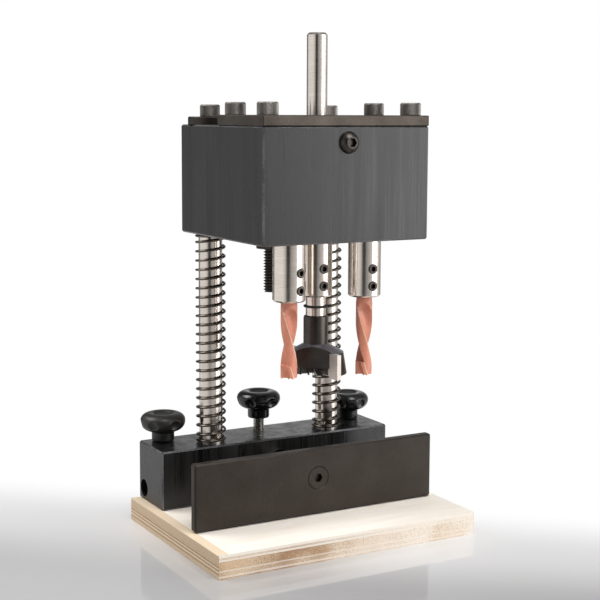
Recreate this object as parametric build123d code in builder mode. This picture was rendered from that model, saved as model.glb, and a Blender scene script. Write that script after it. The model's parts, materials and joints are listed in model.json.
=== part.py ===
from build123d import *
import os
from math import atan2, cos, degrees, hypot, radians, sin, sqrt, tan

# Hinge drilling jig: a three-spindle boring head slides down two sprung guide columns on a base bar,
# and a fence plate on a clamped rod sets how far the holes lie from the door's edge.
# Millimetres. The origin is the centre of the board's underside, X to the right, Y away from the
# operator, Z up.

# Plywood board under the jig
board_length = 142.0
board_depth = 104.5
board_thickness = 11.3
board_edge = 0.3

# Base bar, flush with the board's rear edge
bar_length = 132.4
bar_depth = 30.0
bar_height = 30.0
bar_chamfer = 0.8

# Guide columns and what holds them
column_diameter = 12.0
column_spacing = 68.6
column_from_bar_front = 10.45
column_socket_depth = 15.0
column_chamfer = 0.6
washer_diameter = 22.0
washer_thickness = 4.0
washer_chamfer = 0.5
washer_clearance = 0.2

# Return springs around the columns
spring_outer_diameter = 15.7
spring_wire = 1.3
spring_active_turns = 22
spring_seat_gap = 0.05

# Boring head block
head_rise = 107.9
block_beside_columns = 10.6
block_depth = 90.2
block_height = 54.5
block_chamfer = 0.8
block_behind_columns = 12.0
chamber_depth = 24.4
chamber_clearance = 1.2
lip_height = 3.0
spindle_clearance = 0.5
bush_outer_diameter = 16.0
bush_length = 20.0
bush_recess = 1.0
guide_clearance = 0.03

# Cover plate over the gear chamber
cover_depth = 47.6
cover_thickness = 5.0
cover_chamfer = 0.4
cover_screw_inset_x = 6.05
cover_screw_inset_y = 7.3
cover_screw_length = 16.0
cover_shaft_clearance = 0.2

# Spindles on the hinge pattern with dowels 42 mm apart, 11 mm behind the cup
dowel_spacing = 42.0
cup_offset = 11.0
outer_spindle_from_front = 19.2
spindle_diameter = 16.0
spindle_drop = 28.5
spindle_neck_diameter = 12.5
spindle_neck_length = 0.6
spindle_edge = 0.8
journal_diameter = 10.0
journal_clearance = 0.02
drive_shaft_height = 39.2
drive_shaft_chamfer = 1.0
drive_shaft_diameter = 10.0
drive_relief_diameter = 9.5
tool_bore_diameter = 10.0
tool_bore_depth = 27.0

# Bearings and gears
bearing_outer_diameter = 22.0
bearing_width = 6.0
bearing_shield_depth = 0.4
bearing_shield_inner = 13.0
bearing_shield_outer = 19.0
spacer_wall = 1.5
gear_teeth = 24
gear_width = 14.0
gear_boss_diameter = 13.0
gear_boss_length = 6.3
gear_backlash = 0.1
pressure_angle = 20.0
key_width = 3.0
key_height = 3.0
key_length = 12.0
key_in_shaft = 1.8
circlip_thickness = 1.0
circlip_outer_diameter = 14.0
circlip_groove_diameter = 9.6
circlip_opening = 4.0
spindle_end = 2.5
spindle_headroom = 1.7

# M6 socket cap, button and countersunk screws
screw_diameter = 6.0
cap_head_diameter = 10.0
cap_head_height = 6.0
cap_head_edge = 0.5
cap_socket = 5.0
cap_socket_depth = 3.0
screw_hole_clearance = 0.3
tapping_extra = 2.0
button_head_diameter = 10.5
button_head_height = 3.3
button_socket = 4.0
button_socket_depth = 2.0
plug_length = 8.0
plug_below_top = 7.6
flat_head_diameter = 11.0
flat_head_land = 0.3
flat_socket = 4.0
flat_socket_depth = 2.2
flat_head_sink = 0.1
column_screw_length = 16.0
foot_screw_length = 20.0
board_screw_length = 20.0
board_screw_spacing = 92.0

# Grub screws that grip the tool shanks
grub_diameter = 5.0
grub_socket = 2.5
grub_socket_depth = 1.8
grub_proud = 0.3
grub_edge = 0.4
grub_lower_height = 5.6
grub_spacing = 8.4
left_grub_turn = 16.0

# Dowel drills, left-hand, and the hinge cutter, right-hand
shank_length = 22.0
shank_flat_depth = 0.5
shank_clearance = 0.02
drill_diameter = 8.0
left_drill_reach = 37.8
right_drill_reach = 39.7
drill_neck_length = 3.0
drill_runout = 3.4
drill_head_length = 6.0
drill_point_height = 1.2
drill_point_diameter = 1.6
drill_spur_height = 0.6
drill_spur_width = 0.9
flute_pitch = 77.0
flute_radius = 3.65
head_flute_radius = 2.2
flute_centre_radius = 4.7
flute_end_radius = 7.5
flute_spacing = 3.6
left_flute_turn = 135.0
right_flute_turn = 126.0
cutter_diameter = 35.0
cutter_body_diameter = 12.1
cutter_body_shoulder = 1.4
cutter_shank_visible = 9.4
cutter_body_length = 14.0
cutter_cone_height = 4.2
cutter_wing_height = 10.5
cutter_rim_diameter = 27.4
cutter_foot_diameter = 30.8
cutter_reach = 39.5
cutter_gullet = 95.0
cutter_web_hollow = 3.4
cutter_turn = -82.6
side_edge_inner_radius = 11.3
side_edge_height = 12.3
floor_edge_proud = 0.3
edge_thickness = 2.2
centre_point_diameter = 3.2
centre_point_taper = 38.0
centre_point_proud = 0.3
centre_point_flat = 0.2
ring_section = 1.1
ring_below_spindle = 5.0

# Depth stop through the back of the head
stop_diameter = 10.0
stop_from_columns = 3.1
stop_drop = 32.2
stop_length = 86.0
stop_edge = 0.8
stop_socket = 5.0
stop_socket_depth = 5.0
stop_nut_flats = 17.0
stop_nut_height = 9.0
stop_nut_edge = 0.6
thread_clearance = 0.05

# Fence plate and its rod
fence_length = 134.4
fence_height = 33.0
fence_thickness = 5.0
fence_chamfer = 0.8
fence_lift = 0.4
fence_reach = 41.25
fence_rod_diameter = 10.0
fence_rod_height = 18.7
fence_rod_length = 66.0
fence_rod_flat_length = 45.0
fence_rod_end_gap = 2.5
rod_clearance = 0.05
fence_screw_length = 18.0

# Clamp knobs and the bores for side stops
knob_spacing = 55.5
knob_from_bar_rear = 6.4
knob_diameter = 23.3
knob_head_height = 9.3
knob_widest = 0.57
knob_hub_diameter = 11.6
knob_hub_height = 5.3
knob_top_flat = 5.6
knob_recess_diameter = 9.0
knob_recess_depth = 0.8
knob_lobes = 6
knob_dish_radius = 5.0
knob_dish_depth = 1.6
knob_dish_height = 3.4
knob_dish_turn = -79.0
knob_lift = 6.4
knob_seat_clearance = 0.2
stud_diameter = 6.0
stud_length = 15.0
stud_grip = 9.0
stud_edge = 0.7
side_bore_diameter = 9.0
side_bore_depth = 46.0
side_bore_height = 6.3

# A countersink as wide at the face as the sunk head's cone would be there
countersink_radius = flat_head_diameter / 2 + flat_head_sink + flat_head_land

# Levels and places that follow from the sizes above
board_rear = board_depth / 2
bar_front = board_rear - bar_depth
bar_middle = board_rear - bar_depth / 2
bar_bottom = board_thickness
bar_top = bar_bottom + bar_height
column_x = column_spacing / 2
column_y = bar_front + column_from_bar_front
column_points = [(-column_x, column_y), (column_x, column_y)]
column_bottom = bar_top - column_socket_depth
block_bottom = bar_top + head_rise
block_top = block_bottom + block_height
block_width = column_spacing + 2 * block_beside_columns
block_rear = column_y + block_behind_columns
block_front = block_rear - block_depth
block_middle = (block_rear + block_front) / 2
cover_top = block_top + cover_thickness
cover_middle = block_front + cover_depth / 2
outer_y = block_front + outer_spindle_from_front
centre_y = outer_y + cup_offset
outer_x = dowel_spacing / 2
centre_axis = (0.0, centre_y)
left_axis = (-outer_x, outer_y)
right_axis = (outer_x, outer_y)
spindle_axes = [centre_axis, left_axis, right_axis]
spindle_bottom = block_bottom - spindle_drop
chamber_floor = block_top - chamber_depth
lower_bearing_bottom = block_bottom + lip_height
gear_stack = gear_boss_length + gear_width + circlip_thickness + spindle_end + spindle_headroom
bearing_spacing = block_height - lip_height - 2 * bearing_width - gear_stack
upper_bearing_bottom = lower_bearing_bottom + bearing_width + bearing_spacing
upper_bearing_top = upper_bearing_bottom + bearing_width
gear_bottom = upper_bearing_top + gear_boss_length
gear_top = gear_bottom + gear_width
stop_y = column_y - stop_from_columns
knob_y = board_rear - knob_from_bar_rear
fence_front = bar_front - fence_reach
fence_back = fence_front + fence_thickness
fence_bottom = board_thickness + fence_lift
fence_top = fence_bottom + fence_height
rod_z = board_thickness + fence_rod_height
stud_hole_diameter = stud_diameter + 2 * thread_clearance

# Equal gears in mesh, so the centre distance is the pitch diameter
pitch_diameter = hypot(outer_x, cup_offset)
gear_module = pitch_diameter / gear_teeth
tooth_angle = 360 / gear_teeth
tip_radius = pitch_diameter / 2 + gear_module
root_radius = pitch_diameter / 2 - 1.25 * gear_module
base_radius = pitch_diameter / 2 * cos(radians(pressure_angle))
chamber_radius = tip_radius + chamber_clearance

os.makedirs("parts", exist_ok=True)


def save(part, name):
    """Labels a finished piece and writes it to its own file."""
    part.label = name
    export_step(part, f"parts/{name}.step")


def cap_screws(seat, points, length):
    """M6 socket cap screws whose heads stand on the seat plane, shanks below it."""
    up = Axis(seat.origin, seat.z_dir)
    with BuildPart() as screws:
        with BuildSketch(seat):
            with Locations(*points):
                Circle(cap_head_diameter / 2)
        extrude(amount=cap_head_height)
        chamfer(screws.edges().group_by(up)[-1], cap_head_edge)
        with BuildSketch(seat):
            with Locations(*points):
                Circle(screw_diameter / 2)
        extrude(amount=-length)
        with BuildSketch(seat.offset(cap_head_height)):
            with Locations(*points):
                RegularPolygon(cap_socket / 2, 6, major_radius=False)
        extrude(amount=-cap_socket_depth, mode=Mode.SUBTRACT)
    return screws.part


def flat_screws(seat, points, length):
    """M6 countersunk socket screws whose heads end just under the seat plane."""
    cone_height = (flat_head_diameter - screw_diameter) / 2
    profile_depth = length - flat_head_sink
    with BuildPart() as screws:
        with BuildSketch(seat.offset(-flat_head_sink)):
            with Locations(*points):
                Circle(flat_head_diameter / 2)
        extrude(amount=-flat_head_land)
        with BuildSketch(seat.offset(-flat_head_sink - flat_head_land)):
            with Locations(*points):
                Circle(flat_head_diameter / 2)
        extrude(amount=-cone_height, taper=45)
        with BuildSketch(seat.offset(-flat_head_sink)):
            with Locations(*points):
                Circle(screw_diameter / 2)
        extrude(amount=-profile_depth)
        with BuildSketch(seat.offset(-flat_head_sink)):
            with Locations(*points):
                RegularPolygon(flat_socket / 2, 6, major_radius=False)
        extrude(amount=-flat_socket_depth, mode=Mode.SUBTRACT)
    return screws.part


# Plywood board, with countersunk holes from below for the screws into the bar
board_screw_points = [(-board_screw_spacing / 2, -bar_middle), (board_screw_spacing / 2, -bar_middle)]
underside = Plane(origin=(0, 0, 0), x_dir=(1, 0, 0), z_dir=(0, 0, -1))
with BuildPart() as board:
    with BuildSketch():
        Rectangle(board_length, board_depth)
    extrude(amount=board_thickness)
    chamfer(board.edges().filter_by(Axis.Z), board_edge)
    with Locations(underside):
        with Locations(*board_screw_points):
            CounterSinkHole(
                radius=screw_diameter / 2 + screw_hole_clearance,
                counter_sink_radius=countersink_radius,
                depth=board_thickness,
                counter_sink_angle=90,
            )
save(board.part, "plywood_board")
save(flat_screws(underside, board_screw_points, board_screw_length), "board_screws")

# Base bar: column sockets, foot screw counterbores, rod bore, side stop bores and knob threads
foot_seat = Plane(origin=(0, 0, bar_bottom + cap_head_height), x_dir=(1, 0, 0), z_dir=(0, 0, -1))
foot_points = [(x, -y) for x, y in column_points]
knob_points = [(-knob_spacing, knob_y), (0, knob_y), (knob_spacing, knob_y)]
with BuildPart() as bar:
    with BuildSketch(Plane.XY.offset(bar_bottom)):
        with Locations((0, bar_middle)):
            Rectangle(bar_length, bar_depth)
    extrude(amount=bar_height)
    chamfer(bar.edges(), bar_chamfer)
    with BuildSketch(Plane.XY.offset(column_bottom)):
        with Locations(*column_points):
            Circle(column_diameter / 2)
    extrude(amount=column_socket_depth, mode=Mode.SUBTRACT)
    with BuildSketch(Plane.XY.offset(bar_bottom)):
        with Locations(*column_points):
            Circle(screw_diameter / 2 + screw_hole_clearance)
    extrude(amount=bar_height, mode=Mode.SUBTRACT)
    with BuildSketch(Plane.XY.offset(bar_bottom)):
        with Locations(*column_points):
            Circle(cap_head_diameter / 2 + screw_hole_clearance)
    extrude(amount=cap_head_height, mode=Mode.SUBTRACT)
    with BuildSketch(Plane.XY.offset(bar_bottom)):
        with Locations((-board_screw_spacing / 2, bar_middle), (board_screw_spacing / 2, bar_middle)):
            Circle(screw_diameter / 2)
    extrude(amount=board_screw_length + tapping_extra - board_thickness, mode=Mode.SUBTRACT)
    with BuildSketch(Plane.XZ.offset(-board_rear)):
        with Locations((0, rod_z)):
            Circle(fence_rod_diameter / 2 + rod_clearance)
    extrude(amount=bar_depth, mode=Mode.SUBTRACT)
    for end, direction in ((-bar_length / 2, 1), (bar_length / 2, -1)):
        with BuildSketch(Plane.YZ.offset(end)):
            with Locations((knob_y, bar_bottom + side_bore_height)):
                Circle(side_bore_diameter / 2)
        extrude(amount=direction * side_bore_depth, mode=Mode.SUBTRACT)
    with BuildSketch(Plane.XY.offset(bar_top)):
        with Locations(knob_points[0], knob_points[2]):
            Circle(stud_hole_diameter / 2)
    extrude(amount=side_bore_height - bar_height, mode=Mode.SUBTRACT)
    with BuildSketch(Plane.XY.offset(bar_top)):
        with Locations(knob_points[1]):
            Circle(stud_hole_diameter / 2)
    extrude(amount=rod_z - bar_top, mode=Mode.SUBTRACT)
save(bar.part, "base_bar")

# Guide columns, tapped at both ends
column_tap_depth = column_screw_length - washer_thickness + tapping_extra
foot_grip = foot_screw_length - (column_bottom - bar_bottom - cap_head_height)
foot_tap_depth = foot_grip + tapping_extra
for name, point in (("left_column", column_points[0]), ("right_column", column_points[1])):
    with BuildPart() as column:
        with BuildSketch(Plane.XY.offset(column_bottom)):
            with Locations(point):
                Circle(column_diameter / 2)
        extrude(amount=block_top - column_bottom)
        chamfer(column.edges().filter_by(GeomType.CIRCLE), column_chamfer)
        with BuildSketch(Plane.XY.offset(block_top)):
            with Locations(point):
                Circle(screw_diameter / 2)
        extrude(amount=-column_tap_depth, mode=Mode.SUBTRACT)
        with BuildSketch(Plane.XY.offset(column_bottom)):
            with Locations(point):
                Circle(screw_diameter / 2)
        extrude(amount=foot_tap_depth, mode=Mode.SUBTRACT)
    save(column.part, name)
save(cap_screws(foot_seat, foot_points, foot_screw_length), "column_foot_screws")

with BuildPart() as washers:
    with BuildSketch(Plane.XY.offset(block_top)):
        with Locations(*column_points):
            Circle(washer_diameter / 2)
            Circle(screw_diameter / 2 + washer_clearance, mode=Mode.SUBTRACT)
    extrude(amount=washer_thickness)
    washer_rims = washers.edges().filter_by(GeomType.CIRCLE).filter_by(
        lambda edge: edge.radius > screw_diameter
    )
    chamfer(washer_rims.group_by(Axis.Z)[-1], washer_chamfer)
save(washers.part, "column_washers")
column_screw_seat = Plane.XY.offset(block_top + washer_thickness)
save(cap_screws(column_screw_seat, column_points, column_screw_length), "column_screws")

# Return springs with closed ends, standing on the bar and pushing the head up
coil_radius = (spring_outer_diameter - spring_wire) / 2
coil_bottom = bar_top + spring_wire / 2 + spring_seat_gap
coil_height = head_rise - spring_wire - 2 * spring_seat_gap
active_height = coil_height - 2 * spring_wire
active_pitch = active_height / spring_active_turns
for name, (x, y) in (("left_spring", column_points[0]), ("right_spring", column_points[1])):
    with BuildPart() as spring:
        with BuildLine() as coil:
            Helix(spring_wire, spring_wire, coil_radius, center=(x, y, coil_bottom))
            Helix(
                active_pitch, active_height, coil_radius, center=(x, y, coil_bottom + spring_wire)
            )
            Helix(
                spring_wire,
                spring_wire,
                coil_radius,
                center=(x, y, coil_bottom + spring_wire + active_height),
            )
        with BuildSketch(Plane(coil.line @ 0, z_dir=coil.line % 0)):
            RegularPolygon(spring_wire / 2, 6)
        sweep(is_frenet=True)
    save(spring.part, name)

# Head block: guide bores, gear chamber, bearing bores, stop thread, screw threads and grease way
cover_screw_x = block_width / 2 - cover_screw_inset_x
cover_screw_front = block_front + cover_screw_inset_y
cover_screw_rear = block_front + cover_depth - cover_screw_inset_y
cover_screw_points = [
    (x, y) for x in (-cover_screw_x, cover_screw_x) for y in (cover_screw_front, cover_screw_rear)
]
plug_z = block_top - plug_below_top
with BuildPart() as block:
    with BuildSketch(Plane.XY.offset(block_bottom)):
        with Locations((0, block_middle)):
            Rectangle(block_width, block_depth)
    extrude(amount=block_height)
    chamfer(block.edges(), block_chamfer)
    with BuildSketch(Plane.XY.offset(block_bottom)):
        with Locations(*column_points):
            Circle(bush_outer_diameter / 2)
        with Locations(*spindle_axes):
            Circle(spindle_diameter / 2 + spindle_clearance)
        with Locations((0, stop_y)):
            Circle(stop_diameter / 2)
    extrude(amount=block_height, mode=Mode.SUBTRACT)
    with BuildSketch(Plane.XY.offset(lower_bearing_bottom)):
        with Locations(*spindle_axes):
            Circle(bearing_outer_diameter / 2)
    extrude(amount=block_top - lower_bearing_bottom, mode=Mode.SUBTRACT)
    with BuildSketch(Plane.XY.offset(chamber_floor)):
        with Locations(*spindle_axes):
            Circle(chamber_radius)
    extrude(amount=chamber_depth, mode=Mode.SUBTRACT)
    with BuildSketch(Plane.XY.offset(block_top)):
        with Locations(*cover_screw_points):
            Circle(screw_diameter / 2)
    extrude(amount=cover_thickness - cover_screw_length - tapping_extra, mode=Mode.SUBTRACT)
    with BuildSketch(Plane.XZ.offset(-block_front)):
        with Locations((0, plug_z)):
            Circle(screw_diameter / 2)
    extrude(amount=block_front - centre_y, mode=Mode.SUBTRACT)
save(block.part, "head_block")

# Bronze guide bushes, two to a column
lower_bush_bottom = block_bottom + bush_recess
upper_bush_bottom = block_top - bush_recess - bush_length
for name, level in (("lower_guide_bushes", lower_bush_bottom), ("upper_guide_bushes", upper_bush_bottom)):
    with BuildPart() as bushes:
        with BuildSketch(Plane.XY.offset(level)):
            with Locations(*column_points):
                Circle(bush_outer_diameter / 2)
                Circle(column_diameter / 2 + guide_clearance, mode=Mode.SUBTRACT)
        extrude(amount=bush_length)
    save(bushes.part, name)

# Cover plate and its screws
with BuildPart() as cover:
    with BuildSketch(Plane.XY.offset(block_top)):
        with Locations((0, cover_middle)):
            Rectangle(block_width, cover_depth)
        with Locations(*cover_screw_points):
            Circle(screw_diameter / 2 + screw_hole_clearance, mode=Mode.SUBTRACT)
        with Locations(centre_axis):
            Circle(drive_shaft_diameter / 2 + cover_shaft_clearance, mode=Mode.SUBTRACT)
    extrude(amount=cover_thickness)
    outline_edges = cover.edges().filter_by(GeomType.LINE)
    chamfer(outline_edges, cover_chamfer)
save(cover.part, "head_cover")
save(cap_screws(Plane.XY.offset(cover_top), cover_screw_points, cover_screw_length), "cover_screws")

# Grease plug: a button-head screw in the block's front
plug_plane = Plane.XZ.offset(-block_front)
with BuildPart() as plug:
    with BuildSketch(Plane.YZ):
        with BuildLine():
            Polyline(
                (block_front, plug_z),
                (block_front + plug_length, plug_z),
                (block_front + plug_length, plug_z + screw_diameter / 2),
                (block_front, plug_z + screw_diameter / 2),
                (block_front, plug_z + button_head_diameter / 2),
            )
            RadiusArc(
                (block_front, plug_z + button_head_diameter / 2),
                (block_front - button_head_height, plug_z + button_socket * 0.7),
                -button_head_diameter / 2,
            )
            Polyline(
                (block_front - button_head_height, plug_z + button_socket * 0.7),
                (block_front - button_head_height, plug_z),
                (block_front, plug_z),
            )
        make_face()
    revolve(axis=Axis((0, 0, plug_z), (0, 1, 0)))
    with BuildSketch(plug_plane.offset(button_head_height)):
        with Locations((0, plug_z)):
            RegularPolygon(button_socket / 2, 6, major_radius=False)
    extrude(amount=-button_socket_depth, mode=Mode.SUBTRACT)
save(plug.part, "grease_plug")

# Sealed ball bearings and the spacer sleeves between them
for name, level in (("lower_bearings", lower_bearing_bottom), ("upper_bearings", upper_bearing_bottom)):
    with BuildPart() as bearings:
        with BuildSketch(Plane.XY.offset(level)):
            with Locations(*spindle_axes):
                Circle(bearing_outer_diameter / 2)
                Circle(journal_diameter / 2 + journal_clearance, mode=Mode.SUBTRACT)
        extrude(amount=bearing_width)
        for shield_level, depth in ((level, 1), (level + bearing_width, -1)):
            with BuildSketch(Plane.XY.offset(shield_level)):
                with Locations(*spindle_axes):
                    Circle(bearing_shield_outer / 2)
                    Circle(bearing_shield_inner / 2, mode=Mode.SUBTRACT)
            extrude(amount=depth * bearing_shield_depth, mode=Mode.SUBTRACT)
    save(bearings.part, name)

with BuildPart() as spacers:
    with BuildSketch(Plane.XY.offset(lower_bearing_bottom + bearing_width)):
        with Locations(*spindle_axes):
            Circle(bearing_outer_diameter / 2)
            Circle(bearing_outer_diameter / 2 - spacer_wall, mode=Mode.SUBTRACT)
    extrude(amount=bearing_spacing)
save(spacers.part, "bearing_spacers")


def spur_gear(axis, turn):
    """Spur gear with a boss on its lower side; turn is the angle of one tooth's middle."""
    half_tooth = tooth_angle / 4 - degrees(gear_backlash / pitch_diameter)
    involute_at_pitch = tan(radians(pressure_angle)) - radians(pressure_angle)

    def flank(radius):
        """Angle between a tooth's middle and its involute flank at this radius."""
        roll = sqrt(max((radius / base_radius) ** 2 - 1, 0))
        involute = roll - atan2(roll, 1)
        return half_tooth + degrees(involute_at_pitch - involute)

    def point(radius, angle):
        return (
            axis[0] + radius * cos(radians(turn + angle)),
            axis[1] + radius * sin(radians(turn + angle)),
        )

    with BuildPart() as gear:
        with BuildSketch(Plane.XY.offset(gear_bottom)):
            with BuildLine():
                middle_radius = (base_radius + tip_radius) / 2
                for tooth in range(gear_teeth):
                    middle = tooth * tooth_angle
                    root = flank(base_radius)
                    following = middle + tooth_angle - root
                    Line(point(root_radius, middle - root), point(base_radius, middle - root))
                    ThreePointArc(
                        point(base_radius, middle - root),
                        point(middle_radius, middle - flank(middle_radius)),
                        point(tip_radius, middle - flank(tip_radius)),
                    )
                    Line(
                        point(tip_radius, middle - flank(tip_radius)),
                        point(tip_radius, middle + flank(tip_radius)),
                    )
                    ThreePointArc(
                        point(tip_radius, middle + flank(tip_radius)),
                        point(middle_radius, middle + flank(middle_radius)),
                        point(base_radius, middle + root),
                    )
                    Line(point(base_radius, middle + root), point(root_radius, middle + root))
                    Line(point(root_radius, middle + root), point(root_radius, following))
            make_face()
        extrude(amount=gear_width)
        with BuildSketch(Plane.XY.offset(upper_bearing_top)):
            with Locations(axis):
                Circle(gear_boss_diameter / 2)
        extrude(amount=gear_boss_length)
        with BuildSketch(Plane.XY.offset(upper_bearing_top)):
            with Locations(axis):
                Circle(journal_diameter / 2)
        extrude(amount=gear_boss_length + gear_width, mode=Mode.SUBTRACT)
        add(key_block(axis), mode=Mode.SUBTRACT)
    return gear.part


def key_block(axis):
    """Parallel key between spindle and gear, its slot in the gear as high as itself."""
    key_y = axis[1] + journal_diameter / 2 - key_in_shaft + key_height / 2
    with BuildPart() as key:
        with BuildSketch(Plane.XY.offset(gear_top - key_length)):
            with Locations((axis[0], key_y)):
                Rectangle(key_width, key_height)
        extrude(amount=key_length)
    return key.part


def circlip(axis):
    """Retaining ring in the spindle's groove above the gear."""
    with BuildPart() as ring:
        with BuildSketch(Plane.XY.offset(gear_top)):
            with Locations(axis):
                Circle(circlip_outer_diameter / 2)
                Circle(circlip_groove_diameter / 2, mode=Mode.SUBTRACT)
            with Locations((axis[0], axis[1] - circlip_outer_diameter / 2)):
                Rectangle(circlip_opening, circlip_outer_diameter / 2, mode=Mode.SUBTRACT)
        extrude(amount=circlip_thickness)
    return ring.part


def grub_planes(axis, turn):
    """Planes on the spindle's axis, facing along its two grub screws."""
    direction = (sin(radians(turn)), -cos(radians(turn)), 0)
    levels = [spindle_bottom + grub_lower_height, spindle_bottom + grub_lower_height + grub_spacing]
    return [Plane(origin=(*axis, level), x_dir=(0, 0, 1), z_dir=direction) for level in levels]


def grub_screws(axis, turn):
    """Pair of grub screws from the shank's flat to just proud of the spindle."""
    tip = tool_bore_diameter / 2 - shank_flat_depth
    end = spindle_diameter / 2 + grub_proud
    with BuildPart() as grubs:
        for plane in grub_planes(axis, turn):
            with BuildSketch(plane.offset(tip)):
                Circle(grub_diameter / 2)
            extrude(amount=end - tip)
            with BuildSketch(plane.offset(end)):
                Circle(grub_diameter / 2)
                Circle(grub_diameter / 2 - grub_edge, mode=Mode.SUBTRACT)
            extrude(amount=-grub_edge, mode=Mode.SUBTRACT)
            with BuildSketch(plane.offset(end)):
                RegularPolygon(grub_socket / 2, 6, major_radius=False)
            extrude(amount=-grub_socket_depth, mode=Mode.SUBTRACT)
    return grubs.part


def spindle(axis, turn):
    """Spindle: tool socket with grub holes below, journal for bearings and gear above."""
    with BuildPart() as body:
        with BuildSketch(Plane.XY.offset(spindle_bottom)):
            with Locations(axis):
                Circle(spindle_diameter / 2)
        extrude(amount=lower_bearing_bottom - spindle_neck_length - spindle_bottom)
        chamfer(body.edges().filter_by(GeomType.CIRCLE), spindle_edge)
        with BuildSketch(Plane.XY.offset(spindle_bottom)):
            with Locations(axis):
                Circle(spindle_neck_diameter / 2)
        extrude(amount=lower_bearing_bottom - spindle_bottom)
        with BuildSketch(Plane.XY.offset(lower_bearing_bottom)):
            with Locations(axis):
                Circle(journal_diameter / 2)
        extrude(amount=outer_top - lower_bearing_bottom)
        chamfer(body.edges().group_by(Axis.Z)[-1], spindle_edge)
        with BuildSketch(Plane.XY.offset(spindle_bottom)):
            with Locations(axis):
                Circle(tool_bore_diameter / 2)
        extrude(amount=tool_bore_depth, mode=Mode.SUBTRACT)
        for plane in grub_planes(axis, turn):
            with BuildSketch(plane):
                Circle(grub_diameter / 2)
            extrude(amount=spindle_diameter, mode=Mode.SUBTRACT)
        with BuildSketch(Plane.XY.offset(gear_top)):
            with Locations(axis):
                Circle(journal_diameter)
                Circle(circlip_groove_diameter / 2, mode=Mode.SUBTRACT)
        extrude(amount=circlip_thickness, mode=Mode.SUBTRACT)
        add(key_block(axis), mode=Mode.SUBTRACT)
    return body.part


# Spindles with their gears, keys, rings and grub screws, the outer gears set in mesh with the middle one
outer_top = gear_top + circlip_thickness + spindle_end
centre_turn = tooth_angle / 2
with BuildPart() as drive_spindle:
    add(spindle(centre_axis, 0))
    with BuildSketch(Plane.XY.offset(gear_top + circlip_thickness)):
        with Locations(centre_axis):
            Circle(journal_diameter / 2)
    extrude(amount=spindle_end)
    with BuildSketch(Plane.XY.offset(gear_top + circlip_thickness + spindle_end)):
        with Locations(centre_axis):
            Circle(drive_relief_diameter / 2)
    extrude(amount=cover_top - gear_top - circlip_thickness - spindle_end)
    with BuildSketch(Plane.XY.offset(cover_top)):
        with Locations(centre_axis):
            Circle(drive_shaft_diameter / 2)
    extrude(amount=drive_shaft_height)
    chamfer(drive_spindle.edges().group_by(Axis.Z)[-1], drive_shaft_chamfer)
save(drive_spindle.part, "centre_spindle")
save(spindle(left_axis, left_grub_turn), "left_spindle")
save(spindle(right_axis, 0), "right_spindle")
for name, axis, grub_turn in (
    ("centre", centre_axis, 0),
    ("left", left_axis, left_grub_turn),
    ("right", right_axis, 0),
):
    towards = degrees(atan2(axis[1] - centre_y, axis[0]))
    meshed_turn = 2 * towards + 180 - tooth_angle / 2 - centre_turn
    gear_turn = centre_turn if name == "centre" else meshed_turn
    save(spur_gear(axis, gear_turn), f"{name}_gear")
    save(key_block(axis), f"{name}_key")
    save(circlip(axis), f"{name}_circlip")
    save(grub_screws(axis, grub_turn), f"{name}_grub_screws")


def tool_shank(axis, turn):
    """Round shank with the flat that the grub screws press on."""
    with BuildPart() as shank:
        with BuildSketch(Plane.XY.offset(spindle_bottom)):
            with Locations(axis):
                Circle(tool_bore_diameter / 2 - shank_clearance)
        extrude(amount=shank_length)
        flat_plane = grub_planes(axis, turn)[0].offset(tool_bore_diameter / 2 - shank_flat_depth)
        with BuildSketch(flat_plane):
            Rectangle(4 * shank_length, 2 * tool_bore_diameter)
        extrude(amount=tool_bore_diameter, mode=Mode.SUBTRACT)
    return shank.part


def dowel_drill(axis, turn, flute_turn, reach):
    """Left-hand two-flute drill: the flutes run out under a plain neck and end in a wider head."""
    flute_bottom = spindle_bottom - reach + drill_point_height
    flute_top = spindle_bottom - drill_neck_length
    runout_bottom = flute_top - drill_runout
    head_top = flute_bottom + drill_head_length

    def section(level, radius, centre_radius):
        """Drill's outline at a level: a disc with two round flutes, turned along the helix."""
        angle = flute_turn - 360 * (level - flute_bottom) / flute_pitch
        with BuildSketch(Plane(origin=(*axis, level)).rotated((0, 0, angle))) as outline:
            Circle(drill_diameter / 2)
            with Locations((0, centre_radius), (0, -centre_radius)):
                Circle(radius, mode=Mode.SUBTRACT)
        return outline.sketch

    head_middle = (flute_bottom + head_top) / 2
    head = [section(z, head_flute_radius, flute_centre_radius) for z in (flute_bottom, head_middle, head_top)]
    steps = round((runout_bottom - head_top) / flute_spacing)
    rise = (runout_bottom - head_top) / steps
    levels = [head_top + index * rise for index in range(steps + 1)]
    flutes = [section(level, flute_radius, flute_centre_radius) for level in levels]
    runout = [
        section(runout_bottom, flute_radius, flute_centre_radius),
        section((runout_bottom + flute_top) / 2, flute_radius, (flute_centre_radius + flute_end_radius) / 2),
        section(flute_top, flute_radius, flute_end_radius),
    ]
    with BuildPart() as drill:
        for sections in (head, flutes, runout):
            loft(sections=sections)
        with BuildSketch(Plane.XY.offset(flute_top)):
            with Locations(axis):
                Circle(drill_diameter / 2)
        extrude(amount=drill_neck_length)
        with BuildSketch(Plane.XY.offset(flute_bottom)):
            with Locations(axis):
                Circle(drill_point_diameter / 2)
        extrude(amount=-drill_point_height, taper=30)
        with BuildSketch(Plane(origin=(*axis, flute_bottom)).rotated((0, 0, flute_turn))):
            spur_x = (drill_diameter - drill_spur_width) / 2
            with Locations((spur_x, 0), (-spur_x, 0)):
                Rectangle(drill_spur_width, drill_spur_width)
        extrude(amount=-drill_spur_height, taper=20)
        add(tool_shank(axis, turn))
    return drill.part


save(dowel_drill(left_axis, left_grub_turn, left_flute_turn, left_drill_reach), "left_drill")
save(dowel_drill(right_axis, 0, right_flute_turn, right_drill_reach), "right_drill")

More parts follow.
